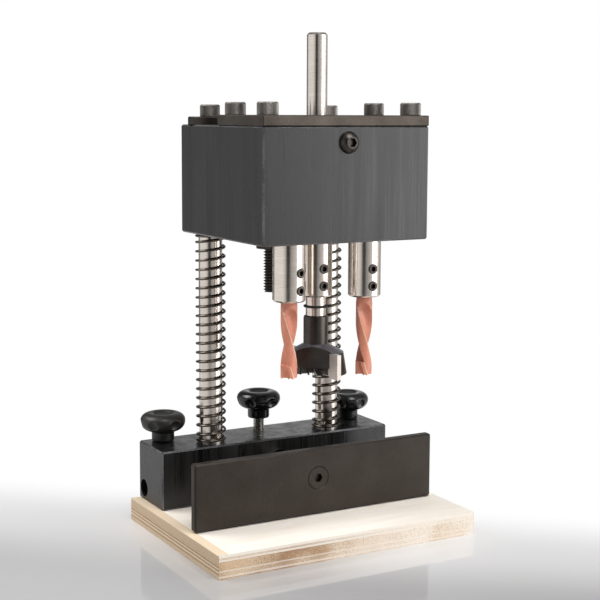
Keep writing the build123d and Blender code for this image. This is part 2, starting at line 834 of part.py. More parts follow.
# Hinge cutter: shank, body and two wings with sloped tops, each led by brazed edges over a wide gullet
body_top = spindle_bottom - cutter_shank_visible
cone_top = body_top - cutter_body_length
wing_top = cone_top - cutter_cone_height
wing_bottom = wing_top - cutter_wing_height
edge_bottom = spindle_bottom - cutter_reach
web_bottom = wing_bottom + cutter_web_hollow
point_height = (centre_point_diameter - centre_point_flat) / 2 / tan(radians(centre_point_taper))
cone_bottom = edge_bottom - centre_point_proud + point_height
gullet_reach = cutter_diameter
gullet_x = cos(radians(cutter_gullet))
gullet_y = sin(radians(cutter_gullet))
shank_radius = tool_bore_diameter / 2 - shank_clearance
body_radius = cutter_body_diameter / 2
cutter_planes = [
    Plane(origin=(*centre_axis, edge_bottom)).rotated((0, 0, cutter_turn + half_turn))
    for half_turn in (0, 180)
]
with BuildPart() as cutter:
    with BuildSketch(Plane.XZ.offset(-centre_y)):
        with BuildLine():
            Polyline(
                (0, wing_bottom),
                (cutter_foot_diameter / 2, wing_bottom),
                (cutter_rim_diameter / 2, wing_top),
                (body_radius, cone_top),
                (body_radius, body_top - cutter_body_shoulder),
                (shank_radius, body_top),
                (shank_radius, spindle_bottom),
                (0, spindle_bottom),
                (0, wing_bottom),
            )
        make_face()
    revolve(axis=Axis((0, centre_y, 0), (0, 0, 1)))
    for plane in cutter_planes:
        with BuildSketch(plane):
            with BuildLine():
                Polyline(
                    (side_edge_inner_radius, 0),
                    (gullet_reach, 0),
                    (gullet_reach, -gullet_reach),
                    (gullet_reach * gullet_x, -gullet_reach * gullet_y),
                    (side_edge_inner_radius * gullet_x, -side_edge_inner_radius * gullet_y),
                    (side_edge_inner_radius, 0),
                )
            make_face()
        extrude(amount=cone_top - edge_bottom, mode=Mode.SUBTRACT)
        with BuildSketch(plane):
            with BuildLine():
                Polyline(
                    (0, 0),
                    (side_edge_inner_radius, 0),
                    (side_edge_inner_radius * gullet_x, -side_edge_inner_radius * gullet_y),
                    (0, 0),
                )
            make_face()
        extrude(amount=web_bottom - edge_bottom, mode=Mode.SUBTRACT)
    for plane in cutter_planes:
        with BuildSketch(plane):
            with Locations((side_edge_inner_radius, 0)):
                Rectangle(
                    cutter_diameter / 2 - side_edge_inner_radius,
                    edge_thickness,
                    align=(Align.MIN, Align.MIN),
                )
        extrude(amount=side_edge_height)
        with BuildSketch(plane.offset(wing_bottom - floor_edge_proud - edge_bottom)):
            Rectangle(side_edge_inner_radius, edge_thickness, align=(Align.MIN, Align.MIN))
        extrude(amount=floor_edge_proud + cutter_web_hollow)
    with BuildSketch(Plane.XY.offset(web_bottom)):
        with Locations(centre_axis):
            Circle(centre_point_diameter / 2)
    extrude(amount=cone_bottom - web_bottom)
    with BuildSketch(Plane.XY.offset(cone_bottom)):
        with Locations(centre_axis):
            Circle(centre_point_diameter / 2)
    extrude(amount=edge_bottom - centre_point_proud - cone_bottom, taper=centre_point_taper)
    add(tool_shank(centre_axis, 0))
save(cutter.part, "hinge_bit")

with BuildPart() as ring:
    with BuildSketch(Plane.XZ.offset(-centre_y)):
        with Locations((tool_bore_diameter / 2 + ring_section / 2, spindle_bottom - ring_below_spindle)):
            Circle(ring_section / 2)
    revolve(axis=Axis((0, centre_y, 0), (0, 0, 1)))
save(ring.part, "cutter_ring")

# Depth stop: threaded rod through the head, locked by a nut under it
stop_bottom = block_bottom - stop_drop
with BuildPart() as stop_rod:
    with BuildSketch(Plane.XY.offset(stop_bottom)):
        with Locations((0, stop_y)):
            Circle(stop_diameter / 2 - thread_clearance)
    extrude(amount=stop_length)
    chamfer(stop_rod.edges().filter_by(GeomType.CIRCLE), stop_edge)
    with BuildSketch(Plane.XY.offset(stop_bottom + stop_length)):
        with Locations((0, stop_y)):
            RegularPolygon(stop_socket / 2, 6, major_radius=False)
    extrude(amount=-stop_socket_depth, mode=Mode.SUBTRACT)
save(stop_rod.part, "depth_stop_rod")

with BuildPart() as stop_nut:
    with BuildSketch(Plane.XY.offset(block_bottom)):
        with Locations((0, stop_y)):
            Circle(stop_nut_flats / sqrt(3) - stop_nut_edge / 2)
    extrude(amount=-stop_nut_height)
    chamfer(stop_nut.edges().filter_by(GeomType.CIRCLE), stop_nut_edge)
    with BuildSketch(Plane.XY.offset(block_bottom)):
        with Locations((0, stop_y)):
            RegularPolygon(stop_nut_flats / 2, 6, major_radius=False)
    extrude(amount=-stop_nut_height, mode=Mode.INTERSECT)
    with BuildSketch(Plane.XY.offset(block_bottom)):
        with Locations((0, stop_y)):
            Circle(stop_diameter / 2)
    extrude(amount=-stop_nut_height, mode=Mode.SUBTRACT)
save(stop_nut.part, "depth_stop_nut")

# Fence plate, its rod with a clamping flat, and the countersunk screw that joins them
fence_plane = Plane.XZ.offset(-fence_front)
with BuildPart() as fence:
    with BuildSketch(fence_plane):
        with Locations((0, (fence_bottom + fence_top) / 2)):
            Rectangle(fence_length, fence_height)
    extrude(amount=-fence_thickness)
    chamfer(fence.edges(), fence_chamfer)
    with Locations(fence_plane):
        with Locations((0, rod_z)):
            CounterSinkHole(
                radius=screw_diameter / 2,
                counter_sink_radius=countersink_radius,
                depth=fence_thickness,
                counter_sink_angle=90,
            )
save(fence.part, "fence_plate")

rod_flat_z = bar_top + knob_lift - stud_length
rod_end = fence_back + fence_rod_length
with BuildPart() as rod:
    with BuildSketch(Plane.XZ.offset(-fence_back)):
        with Locations((0, rod_z)):
            Circle(fence_rod_diameter / 2)
    extrude(amount=-fence_rod_length)
    with BuildSketch(Plane.XY.offset(rod_flat_z)):
        with Locations((0, rod_end - fence_rod_end_gap - fence_rod_flat_length / 2)):
            Rectangle(fence_rod_diameter, fence_rod_flat_length)
    extrude(amount=fence_rod_diameter, mode=Mode.SUBTRACT)
    with BuildSketch(Plane.XZ.offset(-fence_back)):
        with Locations((0, rod_z)):
            Circle(screw_diameter / 2)
    extrude(amount=fence_thickness - fence_screw_length - tapping_extra, mode=Mode.SUBTRACT)
save(rod.part, "fence_rod")
save(flat_screws(fence_plane, [(0, rod_z)], fence_screw_length), "fence_screw")


def star_knob(x, seat_z):
    """Lobed clamp knob with a hub, a capped top and a bore for its stud."""
    head_bottom = seat_z + knob_hub_height
    head_top = head_bottom + knob_head_height
    radius = knob_diameter / 2
    with BuildPart() as knob:
        with BuildSketch(Plane.XZ.offset(-knob_y)):
            with BuildLine():
                Polyline(
                    (x, head_top),
                    (x, seat_z),
                    (x + knob_hub_diameter / 2, seat_z),
                    (x + knob_hub_diameter / 2, head_bottom),
                )
                Spline(
                    (x + knob_hub_diameter / 2, head_bottom),
                    (x + radius, head_bottom + knob_head_height * knob_widest),
                    (x + knob_top_flat, head_top),
                    tangents=[(1, 0.1), (-1, 0)],
                )
                Line((x + knob_top_flat, head_top), (x, head_top))
            make_face()
        revolve(axis=Axis((x, knob_y, 0), (0, 0, 1)))
        with BuildSketch(Plane.XY.offset(head_top)):
            with Locations((x, knob_y)):
                Circle(knob_recess_diameter / 2)
        extrude(amount=-knob_recess_depth, mode=Mode.SUBTRACT)
        dish = Plane(origin=(x, knob_y, head_bottom + knob_dish_height)).rotated((0, 0, knob_dish_turn))
        with Locations(dish):
            with PolarLocations(radius + knob_dish_radius - knob_dish_depth, knob_lobes):
                Sphere(knob_dish_radius, mode=Mode.SUBTRACT)
        with BuildSketch(Plane.XY.offset(seat_z)):
            with Locations((x, knob_y)):
                Circle(stud_hole_diameter / 2)
        extrude(amount=stud_grip, mode=Mode.SUBTRACT)
    return knob.part


def knob_stud(x, seat_z):
    """Threaded stud that sits in the knob and screws down into the bar."""
    with BuildPart() as stud:
        with BuildSketch(Plane.XY.offset(seat_z - stud_length)):
            with Locations((x, knob_y)):
                Circle(stud_diameter / 2)
        extrude(amount=stud_length + stud_grip)
        chamfer(stud.edges().group_by(Axis.Z)[0], stud_edge)
    return stud.part


# Clamp knobs: the middle one holds the fence rod, the end ones are for side stops
for name, x, seat_z in (
    ("left", -knob_spacing, bar_top + knob_seat_clearance),
    ("middle", 0, bar_top + knob_lift),
    ("right", knob_spacing, bar_top + knob_seat_clearance),
):
    save(star_knob(x, seat_z), f"{name}_knob")
    save(knob_stud(x, seat_z), f"{name}_knob_stud")
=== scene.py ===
import json
from math import cos, hypot, pi, radians, sin, sqrt

import bmesh
import bpy
from mathutils import Matrix, Vector

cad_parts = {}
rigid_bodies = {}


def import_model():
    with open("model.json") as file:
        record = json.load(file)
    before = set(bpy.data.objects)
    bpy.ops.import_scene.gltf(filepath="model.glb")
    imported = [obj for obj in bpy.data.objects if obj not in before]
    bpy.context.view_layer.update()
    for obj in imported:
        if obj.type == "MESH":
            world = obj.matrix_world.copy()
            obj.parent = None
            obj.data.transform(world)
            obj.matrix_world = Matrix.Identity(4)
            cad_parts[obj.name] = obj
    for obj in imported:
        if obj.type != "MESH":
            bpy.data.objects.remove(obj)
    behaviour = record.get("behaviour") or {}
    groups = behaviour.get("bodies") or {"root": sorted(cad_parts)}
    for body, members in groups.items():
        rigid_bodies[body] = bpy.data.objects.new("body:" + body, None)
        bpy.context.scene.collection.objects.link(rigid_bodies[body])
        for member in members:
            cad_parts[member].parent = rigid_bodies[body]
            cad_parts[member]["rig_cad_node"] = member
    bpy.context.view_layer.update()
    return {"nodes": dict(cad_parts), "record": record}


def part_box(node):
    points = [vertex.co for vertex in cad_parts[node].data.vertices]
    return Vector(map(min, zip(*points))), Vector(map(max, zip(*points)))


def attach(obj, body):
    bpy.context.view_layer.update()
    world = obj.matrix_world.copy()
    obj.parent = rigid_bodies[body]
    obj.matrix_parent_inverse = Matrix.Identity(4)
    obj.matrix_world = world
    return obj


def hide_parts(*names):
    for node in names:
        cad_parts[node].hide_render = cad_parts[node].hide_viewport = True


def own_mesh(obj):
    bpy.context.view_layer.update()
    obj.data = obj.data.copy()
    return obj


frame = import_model()

# Hinge drilling jig: the finish of every surface, and the pieces with threads, coils, knurls and flutes.
# Sizes are in millimetres and MM turns them into the scene's metres.
MM = 0.001

# Fine detail that the render shows
SMOOTH_ANGLE = 32.0
COIL_STEPS = 28
WIRE_SIDES = 10
THREAD_STEPS = 32
ROUND_SIDES = 96

# Distances within which loose vertices are joined
WELD = 0.0005
THREAD_WELD = 0.002
COIL_WELD = 0.01

# Return springs
SPRING_WIRE = 1.3
SPRING_TURNS = 22

# Socket cap screws, M6
CAP_HEAD_RADIUS = 5.0
CAP_HEAD_HEIGHT = 6.0
KNURL_TEETH = 54
KNURL_DEPTH = 0.16
SOCKET_FLATS = 5.0
SOCKET_DEPTH = 3.0
SCREW_RADIUS = 3.0

# Drill point under a socket, as shares of the socket's flats and of its width
SOCKET_POINT_DEPTH = 0.25
SOCKET_POINT_WIDTH = 0.12

# Threads, and the depth stop's rod with its own socket
STUD_PITCH = 1.0
STOP_PITCH = 1.5
STOP_RADIUS = 4.95
STOP_END = 0.8
STOP_SOCKET = 5.0
THREAD_DEPTH_SHARE = 0.61

# Dowel drills: flute form, and levels below the spindle or above the tip
DRILL_RADIUS = 4.0
DRILL_SIDES = 64
DRILL_STEP = 0.5
DRILL_PITCH = 77.0
DRILL_NECK = 3.0
DRILL_RUNOUT = 4.4
DRILL_HEAD = 6.0
DRILL_POINT = 1.2
DRILL_SPUR = 0.5
FLUTE_RADIUS = 3.7
HEAD_FLUTE_RADIUS = 2.2
FLUTE_CENTRE = 4.7
FLUTE_END_CENTRE = 7.6
LAND_STEPS = 7
EDGE_STEPS = 2
SHANK_RADIUS = 4.98
SHANK_FLAT = 4.5
FLAT_TOOL_REACH = 9.0
LEFT_FLUTE_TURN = 135.0
RIGHT_FLUTE_TURN = 126.0
LEFT_GRUB_TURN = 16.0

# Hinge cutter: radii, and levels from its spindle's end down
CUTTER_TURN = -82.6
CUTTER_GULLET = 95.0
GULLET_REACH = 40.0
GULLET_MIDDLE_REACH = 56.0
CUTTER_BODY_RADIUS = 6.05
CUTTER_RIM_RADIUS = 13.7
CUTTER_FOOT_RADIUS = 15.4
CUTTER_RADIUS = 17.5
EDGE_INNER_RADIUS = 11.3
EDGE_THICKNESS = 2.2
SHANK_SHOWN = 9.4
CONE_TOP = 23.4
WING_TOP = 27.6
WING_BOTTOM = 38.1
WEB_BOTTOM = 34.7
EDGE_BOTTOM = 39.5
EDGE_TOP = 27.2
POINT_RADIUS = 1.6
POINT_BOTTOM = 39.8

# Board: in X, where the strip of its top without face veneer ends, and between which places its long edges
# go from painted shade at the left to painted light at the right. From each (share of the thickness, amount)
# up, how much of the core shows on the long edges, and how dark the layers are at the ends
BARE_STRIP_END = -65.8
EDGE_PAINTED_LIGHT = (-70, 60)
EDGE_LAYERS = [
    (0.0, 1.0),
    (0.05, 0.35),
    (0.14, 0.85),
    (0.3, 0.4),
    (0.36, 1.0),
    (0.72, 0.08),
    (0.8, 0.6),
    (0.88, 0.0),
]
END_LAYERS = [
    (0.0, 0.35),
    (0.2, 1.0),
    (0.25, 0.2),
    (0.36, 1.0),
    (0.41, 0.15),
    (0.5, 1.0),
    (0.54, 0.45),
    (0.97, 0.1),
]

# Knobs
KNOB_HUB_HEIGHT = 5.3
KNOB_DISHES = 6
KNOB_CAP_RADIUS = 4.6
DISH_RADIUS = 5.0
DISH_CENTRE = 15.05
DISH_HEIGHT = 3.4
DISH_TURN = -79.0

# Nodes whose finish differs from the rest of their slot, and blocks whose bevels are painted pale grey: bare
# metal worn through, and painted highlight of the light the bevels catch
OTHER_FINISH = {"head_cover": "lighter_browned_steel", "fence_screw": "browned_steel"}
WORN_AND_HIGHLIT_BLOCKS = ("head_block", "base_bar")

# Photograph's viewpoint, in the frame's millimetres and degrees
CAMERA_PLACE = (-322.6, -578.0, 209.3)
CAMERA_YAW = 29.134
CAMERA_PITCH = 6.679
CAMERA_ROLL = 0.236
CAMERA_LENS = 80.08
CAMERA_SHIFT_Y = -0.05
SENSOR_WIDTH = 36.0

# Floor, in metres. Depths run back from the camera, along Y plus this share of X: over the first two the
# floor's painted shadow in front fades, and over the next two it turns white, as it does near its rim. The
# painted shadow in front darkens to the right, between the last two places in X
FLOOR_RADIUS = 0.6
FLOOR_RIM = (0.35, 0.55)
DEPTH_SLANT = 0.9
SHADOW_FADE_DEPTHS = (-0.12, -0.01)
WHITE_DEPTHS = (-0.03, 0.07)
SHADE_SIDES = (-0.2, 0.25)

# Lamps, in metres and watts: place, point they light, size and power
LAMPS = {
    "front_softbox": ((0.05, -0.6, 1.2), (0, 0, 0.08), (0.7, 0.7), 10.5),
    "right_softbox": ((0.85, -0.8, 0.3), (0, 0, 0.12), (0.8, 0.8), 6.5),
    "back_softbox": ((-0.6, 0.45, 0.9), (0, 0, 0.1), (0.6, 0.5), 7),
}

# Room: its light on matt surfaces, the share left overhead and the heights between which it falls off,
# and how bright metal mirrors it all round, from behind the jig past its left, the camera and its right
ROOM_LIGHT = 0.4
CEILING_SHARE = 0.5
CEILING_HEIGHTS = (0.14, 0.45)
ROOM = [
    (0.0, 1.0),
    (0.05, 0.14),
    (0.14, 0.2),
    (0.19, 0.95),
    (0.38, 0.95),
    (0.44, 0.5),
    (0.455, 0.02),
    (0.51, 0.02),
    (0.53, 0.35),
    (0.6, 0.6),
    (0.66, 0.85),
    (0.7, 1.0),
    (0.8, 0.9),
    (0.86, 0.4),
    (0.95, 0.5),
    (1.0, 1.0),
]


def middle(node):
    """Centre of a CAD node's box, in millimetres."""
    low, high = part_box(node)
    return (low + high) / 2 / MM


def levels(node):
    """Lowest and highest level of a CAD node, in millimetres."""
    low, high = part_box(node)
    return low.z / MM, high.z / MM


# Modelling


def pick(*pieces):
    """Selects these objects alone and makes the first one active."""
    bpy.ops.object.select_all(action="DESELECT")
    for piece in pieces:
        piece.select_set(True)
    bpy.context.view_layer.objects.active = pieces[0]


def open_mesh(piece):
    """Opens a piece in edit mode with nothing of it selected."""
    pick(piece)
    bpy.ops.object.mode_set(mode="EDIT")
    bpy.ops.mesh.select_all(action="DESELECT")


def select_vertices(rule):
    """In edit mode, selects the vertices whose place passes the rule, in millimetres."""
    shape = bmesh.from_edit_mesh(bpy.context.object.data)
    for vertex in shape.verts:
        if rule(vertex.co / MM):
            vertex.select_set(True)
    shape.select_flush(True)
    bmesh.update_edit_mesh(bpy.context.object.data)


def close_mesh():
    """Joins doubled vertices, turns every face outwards and leaves edit mode."""
    bpy.ops.mesh.select_all(action="SELECT")
    bpy.ops.mesh.remove_doubles(threshold=WELD * MM)
    bpy.ops.mesh.normals_make_consistent(inside=False)
    bpy.ops.object.mode_set(mode="OBJECT")


def apply_modifiers(piece):
    """Turns a piece's modifiers into mesh, in their order."""
    pick(piece)
    for modifier in list(piece.modifiers):
        bpy.ops.object.modifier_apply(modifier=modifier.name)


def join(*pieces):
    """Makes one object of several, in the first one's name."""
    pick(*pieces)
    bpy.ops.object.join()
    return pieces[0]


def cut(piece, tool, operation="DIFFERENCE"):
    """Cuts a piece with a tool object, which is used up."""
    modifier = piece.modifiers.new("cut", "BOOLEAN")
    modifier.operation = operation
    modifier.object = tool
    modifier.solver = "EXACT"
    apply_modifiers(piece)
    bpy.data.objects.remove(tool)


def place(piece, point, tilt=(0, 0, 0)):
    """Turns a piece by angles in degrees, moves it by millimetres and applies both to its mesh."""
    pick(piece)
    piece.rotation_euler = [radians(angle) for angle in tilt]
    piece.location = Vector(point) * MM
    bpy.ops.object.transform_apply(location=True, rotation=True, scale=True)
    return piece


def copy(piece):
    """A second object with its own mesh."""
    pick(piece)
    bpy.ops.object.duplicate(linked=False)
    return bpy.context.object


def turned(name, profile, sides=ROUND_SIDES):
    """A disc grown ring by ring about Z through (radius, height) points, closed at both ends."""
    radius, height = profile[0]
    bpy.ops.object.select_all(action="DESELECT")
    bpy.ops.mesh.primitive_circle_add(
        vertices=sides, radius=radius * MM, fill_type="NGON", location=(0, 0, height * MM)
    )
    piece = bpy.context.object
    piece.name = name
    bpy.ops.object.transform_apply(location=True, rotation=True, scale=True)
    bpy.ops.object.mode_set(mode="EDIT")
    bpy.ops.mesh.select_all(action="SELECT")
    for next_radius, next_height in profile[1:]:
        rise = (next_height - height) * MM
        grow = next_radius / radius
        bpy.ops.mesh.extrude_region_move(TRANSFORM_OT_translate={"value": (0, 0, rise)})
        bpy.ops.transform.resize(value=(grow, grow, 1), center_override=(0, 0, next_height * MM))
        radius, height = next_radius, next_height
    close_mesh()
    return piece


def socket_tool(flats, top, depth):
    """A hexagon key's shape with a drill point under it, to sink a socket from the top."""
    bpy.ops.object.select_all(action="DESELECT")
    bpy.ops.mesh.primitive_cylinder_add(
        vertices=6,
        radius=flats / 2 / cos(pi / 6) * MM,
        depth=2 * depth * MM,
        location=(0, 0, top * MM),
    )
    tool = bpy.context.object
    tool.name = "socket_tool"
    bpy.ops.object.transform_apply(location=True, rotation=True, scale=True)
    open_mesh(tool)
    select_vertices(lambda spot: spot.z < top - depth / 2)
    fall = -flats * SOCKET_POINT_DEPTH * MM
    bpy.ops.mesh.extrude_region_move(TRANSFORM_OT_translate={"value": (0, 0, fall)})
    bpy.ops.transform.resize(
        value=(SOCKET_POINT_WIDTH, SOCKET_POINT_WIDTH, 1), center_override=(0, 0, 0)
    )
    close_mesh()
    return tool


def slab(name, outline, low, high):
    """A closed outline of (x, y) points made solid between two levels."""
    bpy.ops.object.select_all(action="DESELECT")
    bpy.ops.mesh.primitive_circle_add(vertices=len(outline), radius=MM, location=(0, 0, 0))
    piece = bpy.context.object
    piece.name = name
    open_mesh(piece)
    shape = bmesh.from_edit_mesh(piece.data)
    for vertex, (x, y) in zip(shape.verts, outline):
        vertex.co = Vector((x, y, low)) * MM
    bmesh.update_edit_mesh(piece.data)
    bpy.ops.mesh.select_all(action="SELECT")
    bpy.ops.mesh.edge_face_add()
    bpy.ops.mesh.extrude_region_move(TRANSFORM_OT_translate={"value": (0, 0, (high - low) * MM)})
    close_mesh()
    return piece


def polar(radius, angle):
    """The (x, y) point at this radius and angle about Z, in degrees."""
    return radius * cos(radians(angle)), radius * sin(radians(angle))


def bearing(point):
    """The angle of a point about Z from X, in radians."""
    return Vector((1, 0)).angle_signed(Vector((point.x, point.y)), 0) * -1


def shank_flat(low, high, turn=0.0):
    """The tool that mills a shank's flat for its grub screws between two levels."""
    far = FLAT_TOOL_REACH
    outline = [(-far, -SHANK_FLAT), (-far, -far), (far, -far), (far, -SHANK_FLAT)]
    return place(slab("flat", outline, low, high), (0, 0, 0), (0, 0, turn))


def thread(name, radius, pitch, low, high):
    """A length of screw thread about Z, cut square at both ends."""
    root = radius - pitch * THREAD_DEPTH_SHARE
    groove = [(root, 0.0), (root, 0.12), (radius, 0.44), (radius, 0.56), (root, 0.88), (root, 1.0)]
    turns = int((high - low) / pitch) + 3
    start = low - 1.5 * pitch
    bpy.ops.object.select_all(action="DESELECT")
    bpy.ops.mesh.primitive_plane_add(size=MM)
    piece = bpy.context.object
    piece.name = name
    open_mesh(piece)
    bpy.ops.mesh.select_all(action="SELECT")
    bpy.ops.mesh.delete(type="VERT")
    shape = bmesh.from_edit_mesh(piece.data)
    line = [shape.verts.new(Vector((x, 0, start + share * pitch)) * MM) for x, share in groove]
    for first, second in zip(line, line[1:]):
        shape.edges.new((first, second))
    bmesh.update_edit_mesh(piece.data)
    bpy.ops.object.mode_set(mode="OBJECT")
    screw = piece.modifiers.new("screw", "SCREW")
    screw.axis = "Z"
    screw.screw_offset = pitch * MM
    screw.iterations = turns
    screw.steps = THREAD_STEPS
    screw.render_steps = THREAD_STEPS
    apply_modifiers(piece)
    open_mesh(piece)
    bpy.ops.mesh.select_all(action="SELECT")
    bpy.ops.mesh.remove_doubles(threshold=THREAD_WELD * MM)
    for level, below in ((low, True), (high, False)):
        bpy.ops.mesh.select_all(action="SELECT")
        bpy.ops.mesh.bisect(
            plane_co=(0, 0, level * MM),
            plane_no=(0, 0, 1),
            use_fill=True,
            clear_inner=below,
            clear_outer=not below,
        )
    close_mesh()
    return piece


def finish(piece, name, body, slot, *materials, replaces=(), angle=SMOOTH_ANGLE):
    """Names, smooths and dresses a piece, gives it its body and hides the nodes it stands for; its slot is
    not used.
    """
    pick(piece)
    bpy.ops.object.shade_smooth_by_angle(angle=radians(angle))
    piece.name = name
    for coat in materials:
        piece.data.materials.append(coat)
    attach(piece, body)
    if replaces:
        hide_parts(*replaces)


# Materials


def linear(code):
    """An sRGB hex colour as the linear values that a shader takes."""
    shares = [int(code[start : start + 2], 16) / 255 for start in (1, 3, 5)]
    return (*[s / 12.92 if s <= 0.04045 else ((s + 0.055) / 1.055) ** 2.4 for s in shares], 1.0)


def add(tree, kind, inputs=None, stops=(), blend="CONSTANT", **settings):
    """Adds a node, or takes a given one, with its settings, input values or links, and a ramp's greys."""
    item = tree.nodes.new(kind) if isinstance(kind, str) else kind
    for key, value in settings.items():
        setattr(item, key, value)
    for key, value in (inputs or {}).items():
        if isinstance(value, bpy.types.NodeSocket):
            tree.links.new(value, item.inputs[key])
        else:
            item.inputs[key].default_value = value
    if stops:
        ramp = item.color_ramp
        ramp.interpolation = blend
        while len(ramp.elements) < len(stops):
            ramp.elements.new(0.99)
        for element, (position, grey) in zip(ramp.elements, stops):
            element.position = position
            element.color = (grey, grey, grey, 1.0)
    return item


def material(name):
    """A new material, its tree and its shader."""
    made = bpy.data.materials.new(name)
    made.use_nodes = True
    return made, made.node_tree, made.node_tree.nodes["Principled BSDF"]


# A colour mix node's inputs and output by number, since their names repeat
MIX_A, MIX_B, MIX_RESULT = 6, 7, 2


def per_mm(spacing):
    """The pattern scale, in turns a metre, of something that repeats at this spacing in millimetres."""
    return 1 / (spacing * MM)


def black_anodised_aluminium():
    """Milled, then anodised black: a thin hard oxide, satin, with the cutter's faint upright lines.

    The lines are about a millimetre apart, coarser than real ones, so that they show.
    """
    made, tree, shader = material("black_anodised_aluminium")
    where = add(tree, "ShaderNodeTexCoord").outputs["Object"]
    marks = []
    for stretch, spacing, detail, roughness in (
        ((1.0, 1.0, 0.015), 0.9, 6.0, 0.7),
        ((1.0, 1.0, 0.05), 6, 3.0, 0.6),
        ((1.0, 1.0, 1.0), 34, 3.0, 0.6),
    ):
        along = add(tree, "ShaderNodeMapping", {"Vector": where, "Scale": stretch}).outputs["Vector"]
        scale = per_mm(spacing)
        marks.append(
            add(
                tree,
                "ShaderNodeTexNoise",
                {"Vector": along, "Scale": scale, "Detail": detail, "Roughness": roughness},
            ).outputs["Fac"]
        )
    fine, broad, handling = marks
    both = add(tree, "ShaderNodeMath", {0: fine, 1: broad}, operation="ADD")
    brush = add(
        tree, "ShaderNodeMapRange", {"Value": both.outputs[0], "From Min": 0.76, "From Max": 1.24}
    ).outputs["Result"]
    tone = add(
        tree,
        "ShaderNodeMix",
        {0: brush, MIX_A: linear("#030303"), MIX_B: linear("#2a2a2a")},
        data_type="RGBA",
    )
    worn = add(
        tree,
        "ShaderNodeMix",
        {0: handling, MIX_A: tone.outputs[MIX_RESULT], MIX_B: linear("#131313")},
        data_type="RGBA",
    )
    rough = add(tree, "ShaderNodeMapRange", {"Value": brush, "To Min": 0.2, "To Max": 0.4})
    relief = add(tree, "ShaderNodeBump", {"Height": fine, "Strength": 0.25, "Distance": 0.05 * MM})
    add(
        tree,
        shader,
        {
            "Base Color": worn.outputs[MIX_RESULT],
            "Roughness": rough.outputs["Result"],
            "Normal": relief.outputs["Normal"],
        },
    )
    return made


def steel(name, dark, light, roughness, grain=(1.0, 1.0, 1.0), spacing=0.8, relief=0.05, metallic=1.0):
    """A metal in two tones with a roughness range, its marks stretched by the grain.

    The spacing of the marks is in millimetres, and coarser than a real grind's, so that they show.
    """
    made, tree, shader = material(name)
    where = add(tree, "ShaderNodeTexCoord").outputs["Object"]
    along = add(tree, "ShaderNodeMapping", {"Vector": where, "Scale": grain}).outputs["Vector"]
    marks = add(
        tree,
        "ShaderNodeTexNoise",
        {"Vector": along, "Scale": per_mm(spacing), "Detail": 5.0, "Roughness": 0.6},
    ).outputs["Fac"]
    cloud = add(
        tree, "ShaderNodeTexNoise", {"Vector": where, "Scale": per_mm(17), "Detail": 2.0, "Roughness": 0.6}
    ).outputs["Fac"]
    blend = add(tree, "ShaderNodeMath", {0: marks, 1: cloud}, operation="ADD")
    wider = add(tree, "ShaderNodeMapRange", {"Value": blend.outputs[0], "From Min": 0.7, "From Max": 1.3})
    tone = add(
        tree,
        "ShaderNodeMix",
        {0: wider.outputs["Result"], MIX_A: linear(dark), MIX_B: linear(light)},
        data_type="RGBA",
    )
    rough = add(tree, "ShaderNodeMapRange", {"Value": marks, "To Min": roughness[0], "To Max": roughness[1]})
    bump = add(tree, "ShaderNodeBump", {"Height": marks, "Strength": relief, "Distance": 0.05 * MM})
    add(
        tree,
        shader,
        {
            "Base Color": tone.outputs[MIX_RESULT],
            "Metallic": metallic,
            "Roughness": rough.outputs["Result"],
            "Normal": bump.outputs["Normal"],
        },
    )
    return made


def plastic(name, colour, shine, texture):
    """A moulded black part: how its roughness varies shows a polished mould or handling wear.

    The texture is the spacing of its ripples in millimetres, as the mould left them.
    """
    made, tree, shader = material(name)
    where = add(tree, "ShaderNodeTexCoord").outputs["Object"]
    ripple = add(
        tree,
        "ShaderNodeTexNoise",
        {"Vector": where, "Scale": per_mm(texture), "Detail": 3.0, "Roughness": 0.6},
    ).outputs["Fac"]
    rough = add(tree, "ShaderNodeMapRange", {"Value": ripple, "To Min": shine[0], "To Max": shine[1]})
    bump = add(tree, "ShaderNodeBump", {"Height": ripple, "Strength": 0.06, "Distance": 0.1 * MM})
    add(
        tree,
        shader,
        {
            "Base Color": linear(colour),
            "Roughness": rough.outputs["Result"],
            "Normal": bump.outputs["Normal"],
        },
    )
    return made


def coating(name, dark, light, roughness):
    """Low-friction coating sprayed on the drills: a semi-gloss paint film with a faint mottle.

    The mottle is a few millimetres wide, coarser than a real spray's, so that it shows.
    """
    made, tree, shader = material(name)
    where = add(tree, "ShaderNodeTexCoord").outputs["Object"]
    spray = add(
        tree, "ShaderNodeTexNoise", {"Vector": where, "Scale": per_mm(2.4), "Detail": 4.0, "Roughness": 0.6}
    ).outputs["Fac"]
    tone = add(
        tree, "ShaderNodeMix", {0: spray, MIX_A: linear(dark), MIX_B: linear(light)}, data_type="RGBA"
    )
    bump = add(tree, "ShaderNodeBump", {"Height": spray, "Strength": 0.08, "Distance": 0.05 * MM})
    add(
        tree,
        shader,
        {"Base Color": tone.outputs[MIX_RESULT], "Roughness": roughness, "Normal": bump.outputs["Normal"]},
    )
    return made


